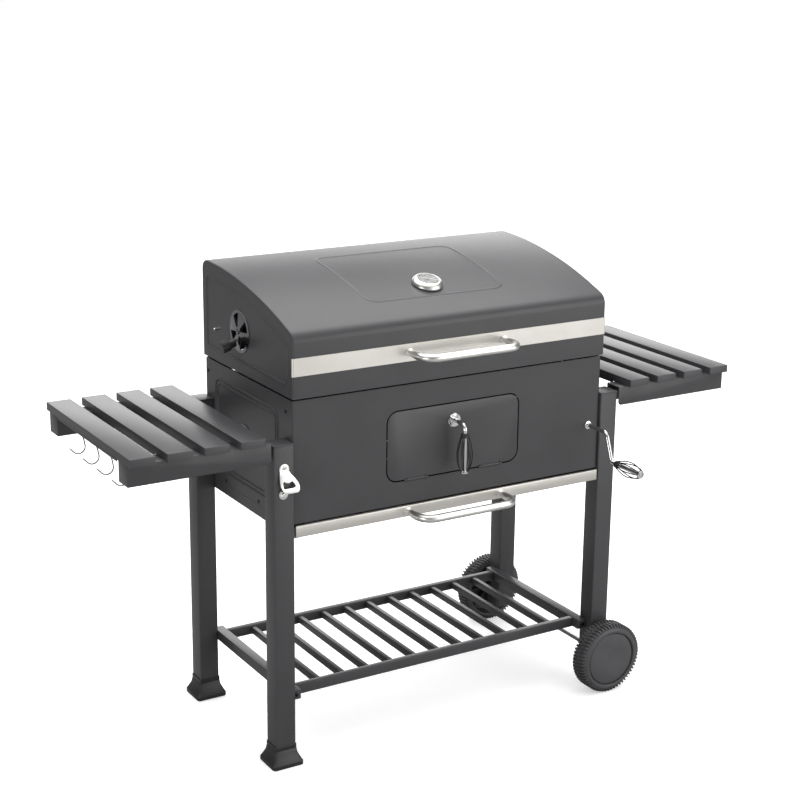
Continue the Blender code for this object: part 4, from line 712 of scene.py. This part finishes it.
frontPlate = cutOut(frontPlate, [opening, holeCutter(crank["x"], crank["z"], 0.0056)] + notches)
addPiece("fireboxFace", [frontPlate, grateLedge] + eyes, powderCoat, "stand", ("firebox_front",))
rearPlate = cutOut(rearPlate, [holeCutter(crank["x"], crank["z"], 0.0056, (-cutBack, -cutFront))])
addPiece("fireboxRear", [rearPlate, mirrored(grateLedge, "y")], powderCoat, "stand",
         ("firebox_back",))
sideFrame = {"front": -0.150, "rear": 0.165, "low": 0.590, "high": 0.807, "corner": 0.026,
             "width": 0.0065, "rise": 0.0018, "insets": (0, 0.011)}
sideScrews = ((-0.188, 0.8145), (0.205, 0.8145), (-0.052, 0.5690), (0.116, 0.5690))
for side, sideName in ((-1, "left"), (1, "right")):
    reach, wallX = firebox["halfDepth"] - edgeRadius, -firebox["halfWidth"]
    plate = block((wallX, -reach, firebox["sideBottom"]), (wallX + sheet, reach, firebox["top"]))
    plate = cutOut(plate, windowCutters(wallX, *vent["firebox"][1:]))
    ridges = []
    for inset in sideFrame["insets"]:
        front, rear = sideFrame["front"] + inset, sideFrame["rear"] - inset
        low, high = sideFrame["low"] + inset, sideFrame["high"] - inset
        loop = softCorners([(front, low, 0), (rear, low, 0), (rear, high, 0), (front, high, 0)],
                           sideFrame["corner"] - inset)
        path = [(wallX, p.x, p.y) for p in loop]
        ridges.append(bead(path, [(-1, 0, 0)] * len(path), sideFrame["width"], sideFrame["rise"]))
    screws = [screwHead((wallX, y, z), (-1, 0, 0)) for y, z in sideScrews]
    addPiece("fireboxSide_" + sideName, forSide([plate] + ridges, side), powderCoat, "stand",
             ("firebox_side_" + sideName,))
    addPiece("sideScrews_" + sideName, forSide(screws, side), blackSteel, "stand")

doorFace = -firebox["halfDepth"]
doorPlate = prism(roundedRect((-door["halfWidth"], door["bottom"]), (door["halfWidth"], doorTop), door["corner"], 10),
                  "y", doorFace, doorFace + door["sheet"], 0.0006, 2)
doorCuts = [holeCutter(0, latch["z"], 0.0054)]
barrels = []
for side in (-1, 1):
    middle = side * door["barrelX"]
    barrels.append(alongX(middle, door["barrelHalf"], door["barrelRadius"]))
    barrels.append(alongX(middle, 0.0316, door["pinRadius"], 12))
    for edge in (-1, 1):
        xs = sorted((middle + edge * 0.0250, middle + edge * 0.0319))
        doorCuts.append(block((xs[0], cutFront, 0.6135), (xs[1], cutBack, door["axisZ"] + door["recess"])))
addPiece("stokingDoor", [cutOut(doorPlate, doorCuts)] + barrels, powderCoat, "door",
         ("charcoal_door",))
print("firebox made")


# Air vents: domed slotted disc, pivot screw, tab and ribbed knob
# The knob's profile is height, radius and depth of its ribs.
knob = {"y": 0.0075, "tilt": 16, "tabHalf": 0.005, "ribs": 20,
        "profile": ((0.0134, 0.0116, 0), (0.0142, 0.0124, 0), (0.0160, 0.0126, 0), (0.0168, 0.0135, 0.0012),
                    (0.0318, 0.0135, 0.0012), (0.0330, 0.0128, 0.0006), (0.0338, 0.0112, 0))}


def ventShapes(faceX, centreY, centreZ):
    bm = bmesh.new()
    near = faceX - vent["standoff"] - vent["sheet"]
    radii = [0.0, 0.006, vent["inner"], 0.019, 0.027, 0.034, vent["outer"], vent["rim"], 0.0470, vent["radius"]]
    sector = vent["windowAngle"]
    angles = []
    for i in range(4):
        start = vent["turn"] + 90 * i - sector / 2
        angles += [start + sector * k / 8 for k in range(8)]
        angles += [start + sector + (90 - sector) * k / 8 for k in range(8)]
    rings = []
    for r in radii:
        dome = vent["dome"] * max(0.0, 1 - (r / vent["rim"]) ** 2)
        turns = angles if r else angles[:1]
        rings.append([bm.verts.new((near - dome, centreY + r * math.cos(math.radians(a)),
                                    centreZ + r * math.sin(math.radians(a)))) for a in turns])
    total = len(angles)
    for ringIndex in range(len(radii) - 1):
        for k in range(total):
            if k % 16 < 8 and vent["inner"] <= radii[ringIndex] < vent["outer"]:
                continue    # a window
            n = (k + 1) % total
            first, second = rings[ringIndex], rings[ringIndex + 1]
            corners = [first[k % len(first)], first[n % len(first)], second[n], second[k]]
            bm.faces.new(list(dict.fromkeys(corners)))
    bmesh.ops.recalc_face_normals(bm, faces=bm.faces)
    if sum(f.normal.x for f in bm.faces) > 0:
        bmesh.ops.reverse_faces(bm, faces=bm.faces)
    bmesh.ops.solidify(bm, geom=bm.faces[:], thickness=0.0010)
    disc = toMesh(bm)
    front = near - vent["dome"]
    hub = [(0, 0.0), (0.0062, 0.0), (0.0062, -0.0015), (0.0045, -0.0028), (0.0016, -0.0030), (0.0016, -0.0018),
           (0, -0.0018)]
    screw = lathe([(r, front + d) for r, d in hub], "x", (0, centreY, centreZ), 28)
    shaft = tube([(front, centreY, centreZ), (faceX + 0.0045, centreY, centreZ)], 0.0035)
    # A flat tab leaves the disc and carries the knob, both tilted down.
    root = Vector((near - 0.0016, centreY + knob["y"], centreZ - 0.0190))
    end = Vector((near - 0.0093, centreY + knob["y"], centreZ - 0.0258))
    side, lift = Vector((0, knob["tabHalf"], 0)), Vector((0, 0, 0.0008))
    tab = ringLoft([[p - side - lift, p + side - lift, p + side + lift, p - side + lift] for p in (root, end)])
    tilt = math.radians(knob["tilt"])
    out = Vector((-math.cos(tilt), 0, -math.sin(tilt)))
    spin = Vector((0, 0, 1)).rotation_difference(out).to_matrix().to_4x4()
    stand = Matrix.Translation(end - out * 0.0016) @ spin
    collar = lathe([(0, 0), (0.0092, 0), (0.0100, 0.0008), (0.0100, 0.0142), (0, 0.0142)], "z", steps=32)
    rings, points = [], 4 * knob["ribs"]
    for z, radius, depth in knob["profile"]:
        ring = []
        for k in range(points):
            reach, angle = radius - depth * (k % 4 > 1), 2 * math.pi * k / points
            ring.append(Vector((reach * math.cos(angle), reach * math.sin(angle), z)))
        rings.append(ring)
    return [disc, screw, shaft, tab], [moved(collar, stand), moved(ringLoft(rings), stand)]


for where in ("hood", "firebox"):
    for side, sideName in ((-1, "left"), (1, "right")):
        nodeName = where + "_vent_" + sideName
        metal, plastic = ventShapes(*vent[where])
        # The discs take the chrome whose grey base is painted dark reflection.
        addPiece(nodeName + "_disc", forSide(metal, side), discChromeDarkReflection, nodeName, (nodeName,))
        addPiece(nodeName + "_knob", forSide(plastic, side), blackPlastic, nodeName)
print("vents made")

# Stainless bands and bent handles
handle = {"halfSpan": 0.125, "standoff": 0.072, "radius": 0.0092, "bend": 0.034,
          "neckAt": [0.0, 0.006, 0.014, 0.024], "neckRadii": [0.0060, 0.0064, 0.0079, 0.0090]}
trim = {"low": 0.899, "high": 0.939, "sheet": 0.001, "corner": 0.0045, "x": 0.4143, "y": 0.2258}
drawer = {"handleFace": 0.2273, "handleZ": 0.551}


# A bent tube whose ends draw down to narrow necks, with a washer at each
def handleShapes(faceY, z):
    start, out, half = -faceY - 0.0003, -faceY - handle["standoff"], handle["halfSpan"]
    path = bentPath([(-half, start, z), (-half, out, z), (half, out, z), (half, start, z)],
                    [handle["bend"], handle["bend"]], 12)
    leftNeck = [Vector(path[0]) + Vector((0, -d, 0)) for d in handle["neckAt"]]
    rightNeck = [Vector(path[-1]) + Vector((0, -d, 0)) for d in reversed(handle["neckAt"])]
    path = leftNeck + path[1:-1] + rightNeck
    necks = handle["neckRadii"]
    radii = necks + [handle["radius"]] * (len(path) - 2 * len(necks)) + necks[::-1]
    washers = [lathe([(0, 0), (0.0098, 0), (0.0094, -0.0016), (0.0070, -0.0026), (0, -0.0026)], "y",
                     (x, start, z), 32) for x in (-half, half)]
    return [tube(path, handle["radius"], 28, radii)] + washers


outline = rolledOutline(trim["x"], trim["y"], trim["corner"], trim["sheet"], trim["corner"] - trim["sheet"])
addPiece("hoodBand", prism(outline, "z", trim["low"], trim["high"]), brushedSheet, "hood",
         ("hood_trim",))
addPiece("hoodHandle", handleShapes(trim["y"] + trim["sheet"], (trim["low"] + trim["high"]) / 2), satinTube, "hood",
         ("hood_handle",))
bandLow, bandHigh = (corner - Vector((0, midY, 0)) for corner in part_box("drawer_band"))
addPiece("drawerBand", tray(bandLow, bandHigh, 0.0016, 0.001, "back"), brushedSheet, "drawer",
         ("drawer_band",))
addPiece("drawerHandle", handleShapes(drawer["handleFace"], drawer["handleZ"]), satinTube, "drawer",
         ("drawer_handle",))
print("bands and handles made")


# Latch, crank and their wire grips
grip = {"length": 0.094, "bulge": 0.0192, "end": 0.0085, "collar": 0.010, "cap": 0.0092, "capLength": 0.007,
        "bore": 0.0051, "wires": 7, "wire": 0.0014, "tuck": 0.002}


def gripRing(low, top, radius):
    edge = radius - 0.0008
    return lathe([(grip["bore"], low), (edge, low), (radius, low + 0.0008), (radius, top - 0.0008), (edge, top),
                  (grip["bore"], top)], "z", steps=40)


# A cage of bowed wires from a plastic collar to a metal end cap
def addGrip(name, place, body, nodeName):
    wires, length = [], grip["length"]
    root = grip["end"] - grip["wire"] - 0.0002
    for i in range(grip["wires"]):
        angle = 2 * math.pi * (i + 0.5) / grip["wires"]
        path = []
        for k in range(17):
            part = k / 16
            bow = math.sin(math.pi * part ** 1.25) ** 0.8
            radius = root + (grip["bulge"] - grip["wire"] - root) * bow
            z = grip["tuck"] + (length - 2 * grip["tuck"]) * part
            path.append(Vector((radius * math.cos(angle), radius * math.sin(angle), z)))
        wires.append(moved(tube(path, grip["wire"], 10), place))
    collar = moved(gripRing(0, grip["collar"], grip["end"]), place)
    cap = moved(gripRing(length - grip["capLength"], length, grip["cap"]), place)
    addPiece(name, wires, springWire, body, (nodeName,))
    addPiece(name + "Collar", collar, blackPlastic, body)
    addPiece(name + "Cap", cap, chromePlate, body)


panelFace = -firebox["halfDepth"]
latchOut, latchEnd = panelFace - latch["standoff"], latch["z"] - latch["drop"]
latchPath = bentPath([(0, -0.2095, latch["z"]), (0, latchOut, latch["z"]), (0, latchOut, latchEnd)],
                     [latch["bend"]], 10)
rosette = lathe([(0, -0.2193), (0.0165, -0.2193), (0.0165, -0.2202), (0.0150, -0.2217), (0.0090, -0.2223),
                 (0.0080, -0.2240), (0, -0.2240)], "y", (0, 0, latch["z"]), 48)
latchTip = lathe([(0, 0.6310), (0.0066, 0.6310), (0.0078, 0.6316), (0.0078, 0.6330), (0, 0.6330)], "z",
                 (0, latchOut, 0), 28)
addPiece("latchRod", [tube(latchPath, latch["rod"], 24), rosette, latchTip], chromePlate, "latch",
         ("door_latch",))
addGrip("latchGrip", Matrix.Translation((0, latchOut, 0.6313 + grip["length"])) @ Matrix.Rotation(math.pi, 4, "X"),
        "latch", "door_latch_grip")

shaftOut = panelFace - crank["standoff"]
gripY, gripZ = shaftOut - crank["slant"], crank["z"] - crank["drop"]
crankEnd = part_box("crank")[0].y - midY
crankPath = bentPath([(crank["x"], y, z) for y, z in ((0.2187, crank["z"]), (shaftOut, crank["z"]), (gripY, gripZ),
                                                      (crankEnd, gripZ))], [0.016, 0.0096], 8)
flange = lathe([(0.0052, -0.2193), (0.0100, -0.2193), (0.0100, -0.2203), (0.0085, -0.2212), (0.0052, -0.2212)], "y",
               (crank["x"], 0, crank["z"]), 36)
addPiece("crankRod", [tube(crankPath, crank["rod"], 24)], chromePlate, "crank", ("crank",))
addPiece("crankFlange", flange, chromePlate, "stand")
addGrip("crankGrip", Matrix.Translation((crank["x"], gripY - 0.016, gripZ)) @ Matrix.Rotation(math.pi / 2, 4, "X"),
        "crank", "crank_grip")
print("latch and crank made")

# Thermometer: sloped bezel, dial card with plain marks, needle, glass
gauge = {"y": -0.094, "stem": 0.0498, "stemRadius": 0.0039, "marks": 24, "start": 225, "sweep": 270, "reading": 215}
gaugeZ, gaugeSlope = crownAt(gauge["y"])
gaugePlace = Matrix.Translation((0, gauge["y"], gaugeZ)) @ Matrix.Rotation(math.atan(gaugeSlope), 4, "X")


def onGauge(mesh, degrees=0):
    return moved(mesh, gaugePlace @ Matrix.Rotation(math.radians(degrees), 4, "Z"))


bezel = lathe([(0, 0.0006), (0.0345, 0.0006), (0.0360, 0.0010), (0.0369, 0.0026), (0.0367, 0.0052),
               (0.0352, 0.0086), (0.0326, 0.0116), (0.0298, 0.0138), (0.0276, 0.0147), (0.0262, 0.0148),
               (0.0255, 0.0142), (0.0252, 0.0120), (0, 0.0120)], "z", steps=72)
stem = tube([(0, 0, 0.002), (0, 0, -gauge["stem"])], gauge["stemRadius"])
addPiece("gaugeBezel", [onGauge(bezel), onGauge(stem)], satinTube, "hood", ("thermometer",))
dial = lathe([(0, 0.0118), (0.0244, 0.0118), (0.0244, 0.0124), (0, 0.0124)], "z", steps=64)
addPiece("gaugeDial", onGauge(dial), dialCard, "hood")
marks = []
for i in range(gauge["marks"] + 1):
    inner, half = (0.0206, 0.00035) if i % 4 else (0.0190, 0.0006)    # every fourth is longer and wider
    mark = block((inner, -half, 0.01235), (0.0224, half, 0.0126))
    marks.append(onGauge(mark, gauge["start"] - gauge["sweep"] * i / gauge["marks"]))
needle = meshFrom([(x, y, z) for z in (0.0130, 0.0134) for x, y in
                   ((-0.005, -0.0011), (0.0185, -0.0003), (0.0185, 0.0003), (-0.005, 0.0011))],
                  [(0, 1, 2, 3), (4, 5, 6, 7), (0, 1, 5, 4), (1, 2, 6, 5), (2, 3, 7, 6), (3, 0, 4, 7)])
marks.append(onGauge(needle, gauge["reading"]))
marks.append(onGauge(lathe([(0, 0.0125), (0.0024, 0.0125), (0.0022, 0.0138), (0, 0.0140)], "z", steps=24)))
addPiece("gaugeMarks", marks, dialInk, "hood")
glass = lathe([(0, 0.0143), (0.0247, 0.0143), (0.0247, 0.0150), (0.012, 0.0154), (0, 0.0155)], "z", steps=64)
addPiece("gaugeGlass", onGauge(glass), glassCover, "hood")
print("thermometer made")

# Side tables: pressed slats on two arms, wire hooks
table = {"reach": 0.790, "face": 0.243, "top": 0.7798, "slatHeight": 0.0177, "slatWidth": 0.0567, "pitch": 0.0827,
         "armTop": 0.7618, "armLow": 0.7158, "armInner": 0.4643, "corner": 0.009, "lip": 0.0045, "lipReach": 0.174,
         "sheet": 0.001, "pivotRadius": 0.0045}
for side, sideName in ((-1, "left"), (1, "right")):
    body = "table_" + sideName
    under = table["top"] - table["slatHeight"]
    for i in range(4):
        outer = -table["reach"] + i * table["pitch"]
        inner = outer + table["slatWidth"]
        slat = tray((outer, -table["face"], under), (inner, table["face"], table["top"]), 0.0014, table["sheet"])
        # Between the arms the slat's flange walls reach a little lower: a sheet put in as painted shade, filling the
        # gaps between slats so they read dark as if in shadow.
        gapShadeFlanges = [block((x, -table["lipReach"], under - table["lip"]),
                         (x + table["sheet"], table["lipReach"], under + 0.001))
                   for x in (outer, inner - table["sheet"])]
        addPiece("tableSlat_" + sideName + "_" + str(i + 1), forSide([slat] + gapShadeFlanges, side), powderCoat, body,
                 ("slat_" + sideName + "_" + str(i + 1),))
    for end, endName in ((-1, "front"), (1, "rear")):
        ys = sorted((end * leg["back"], end * leg["face"]))
        low, corner, inner = -table["reach"] + 0.001, table["corner"], -table["armInner"]
        outline = [(low, table["armLow"])] + arc((inner - corner, table["armLow"] + corner), corner, -90, 0, 8)
        outline += [(inner, table["armTop"]), (low, table["armTop"])]
        arm = prism(outline, "y", ys[0], ys[1], 0.0009, 2)
        left, right, top = low + 0.002, inner + 0.02, table["armTop"] - 0.002
        hollow = prism([(left, 0.70), (right, 0.70), (right, top), (left, top)], "y", ys[0] + 0.0018, ys[1] - 0.0018)
        pivotHole = tube([(-leg["foldX"], end * (leg["back"] + step), leg["foldZ"]) for step in (-0.003, 0.003)],
                         table["pivotRadius"])
        addPiece("tableArm_" + sideName + "_" + endName, forSide([cutOut(arm, [hollow, pivotHole])], side),
                 powderCoat, body, ("table_arm_" + sideName + "_" + endName,))
hook = {"x": -0.7605, "low": 0.687, "radius": 0.015, "lean": 0.0011, "pitch": 0.083, "wire": 0.0016}
bowlX = hook["x"] - hook["lean"]
hookLine = [(hook["x"], 0.7785), (hook["x"], 0.7621), (hook["x"], 0.7581), (hook["x"] + 0.0035, 0.745),
            (hook["x"] + 0.0078, 0.7295), (hook["x"] + 0.0118, 0.716)]
hookLine += arc((bowlX, hook["low"] + hook["radius"]), hook["radius"], 12, -135, 18)
hookLine += [(bowlX - 0.0211, hook["low"] + 0.0152)]
for i in range(4):
    y = (i - 1.5) * hook["pitch"]
    addPiece("utensilHook_" + str(i + 1), tube([(a, y, b) for a, b in hookLine], hook["wire"], 14), hookWire,
             "table_left", ("hook_" + str(i + 1),))
print("tables and hooks made")

# Bottle opener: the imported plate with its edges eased, and two screws
opener = {"face": -0.2283, "screws": ((-0.43555, 0.7032), (-0.43755, 0.6409)), "edge": 0.0004}
openerMesh = frame["nodes"]["bottle_opener"].data.copy()
openerMesh.transform(Matrix.Translation((0, -midY, 0)))
bm = bmesh.new()
bm.from_mesh(openerMesh)
bmesh.ops.remove_doubles(bm, verts=bm.verts, dist=0.00001)
bmesh.ops.dissolve_limit(bm, angle_limit=math.radians(1), verts=bm.verts, edges=bm.edges)
bevelEdges(bm, sharpEdges(bm, 50), opener["edge"], 2)
addPiece("openerPlate", toMesh(bm), satinTube, "stand", ("bottle_opener",))
openerScrews = [screwHead((x, opener["face"], z), (0, -1, 0), 0.0048, 0.002) for x, z in opener["screws"]]
addPiece("openerScrews", openerScrews, chromePlate, "stand")
print("opener made")

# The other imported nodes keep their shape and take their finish
slotOf = {row["node"]: row["material_slot"] for row in frame["record"]["subparts"]}
for nodeName, node in frame["nodes"].items():
    finish = finishOf[slotOf[nodeName]]
    node.data.materials.clear()
    node.data.materials.append(finish)
    node.data.shade_smooth()
    node.data.set_sharp_from_angle(angle=math.radians(30))
print("packed nodes finished")

# Floor, light, camera
floorMaterial, floorTree, floorShader, _ = newMaterial(
    "paleStudioFloor", {"Base Color": (0.9, 0.9, 0.9, 1), "Roughness": 0.9, "Emission Color": (1, 1, 1, 1),
                        "Emission Strength": 0.45})
# The studio round the grill is grey, so steel and paint reflect less than the white that is seen.
greyFloor = addNode(floorTree, "ShaderNodeBsdfDiffuse", {"Color": (0.38, 0.38, 0.38, 1)})
floorRay = addNode(floorTree, "ShaderNodeLightPath")
floorMix = addNode(floorTree, "ShaderNodeMixShader", {}, {"Fac": floorRay.outputs["Is Camera Ray"],
                                                          1: greyFloor.outputs[0], 2: floorShader.outputs[0]})
floorTree.links.new(floorMix.outputs[0], floorTree.nodes["Material Output"].inputs["Surface"])
floorMesh = meshFrom([(-30, -30, 0), (30, -30, 0), (30, 30, 0), (-30, 30, 0)], [(0, 1, 2, 3)])
floor = bpy.data.objects.new("studioFloor", floorMesh)
floorMesh.materials.append(floorMaterial)
bpy.context.scene.collection.objects.link(floor)

world = bpy.data.worlds.new("studio")
bpy.context.scene.world = world
world.use_nodes = True
worldTree = world.node_tree
worldTree.nodes.clear()
lightPath = addNode(worldTree, "ShaderNodeLightPath")
seen = addNode(worldTree, "ShaderNodeBackground", {"Color": (1, 1, 1, 1), "Strength": 1.0})
fill = addNode(worldTree, "ShaderNodeBackground", {"Color": (1, 1, 1, 1), "Strength": 0.14})
worldMix = addNode(worldTree, "ShaderNodeMixShader", {}, {"Fac": lightPath.outputs["Is Camera Ray"],
                                                          1: fill.outputs[0], 2: seen.outputs[0]})
addNode(worldTree, "ShaderNodeOutputWorld", {}, {"Surface": worldMix.outputs[0]})

lamps = {"overhead": {"place": (0.1, 0.7, 3.4), "aim": (0, 0.0, 0.9), "size": (4.5, 3.0), "power": 90},
         "backWall": {"place": (2.6, 5.2, 1.9), "aim": (0, 0, 0.9), "size": (6.0, 2.8), "power": 140},
         "frontRight": {"place": (2.4, -3.4, 1.6), "aim": (0, -0.1, 0.7), "size": (3.4, 2.8), "power": 76},
         "frontLow": {"place": (0.4, -4.2, 0.9), "aim": (0, 0, 0.6), "size": (3.0, 1.4), "power": 14},
         "leftLow": {"place": (-4.0, -1.6, 0.7), "aim": (-0.3, -0.1, 0.45), "size": (1.6, 1.4), "power": 34}}
for lampName, lamp in lamps.items():
    data = bpy.data.lights.new(lampName, "AREA")
    data.shape = "RECTANGLE"
    data.size, data.size_y = lamp["size"]
    data.energy = lamp["power"]
    light = bpy.data.objects.new(lampName, data)
    light.location = lamp["place"]
    aim = Vector(lamp["aim"]) - Vector(lamp["place"])
    light.rotation_euler = aim.to_track_quat("-Z", "Y").to_euler()
    light.visible_camera = False
    bpy.context.scene.collection.objects.link(light)
skyData = bpy.data.lights.new("softSky", "SUN")
skyData.energy = 2.1
skyData.angle = math.radians(100)
sky = bpy.data.objects.new("softSky", skyData)
sky.location = (0, 0, 4)
bpy.context.scene.collection.objects.link(sky)

view = {"azimuth": -32.1107, "elevation": 15.3964, "roll": 0.9245, "distance": 3.9546,
        "target": (0.0263, -0.0711, 0.7873), "lens": 76.287, "shiftX": -0.0375, "shiftY": -0.01875}
azimuth, elevation, rollAngle = (math.radians(view[k]) for k in ("azimuth", "elevation", "roll"))
backward = Vector((math.sin(azimuth) * math.cos(elevation), -math.cos(azimuth) * math.cos(elevation),
                   math.sin(elevation)))
target = Vector(view["target"]) + Vector((0, midY, 0))
right = (-backward).cross(Vector((0, 0, 1))).normalized()
up = right.cross(-backward)
rightTurned = right * math.cos(rollAngle) + up * math.sin(rollAngle)
upTurned = -right * math.sin(rollAngle) + up * math.cos(rollAngle)
turn = Matrix((rightTurned, upTurned, backward)).transposed().to_4x4()
cameraData = bpy.data.cameras.new("camera")
cameraData.lens = view["lens"]
cameraData.sensor_width = 36.0
cameraData.shift_x, cameraData.shift_y = view["shiftX"], view["shiftY"]
camera = bpy.data.objects.new("camera", cameraData)
camera.matrix_world = Matrix.Translation(target + backward * view["distance"]) @ turn
bpy.context.scene.collection.objects.link(camera)
bpy.context.scene.camera = camera
bpy.context.scene.view_settings.view_transform = "Standard"
print("floor, light and camera set")
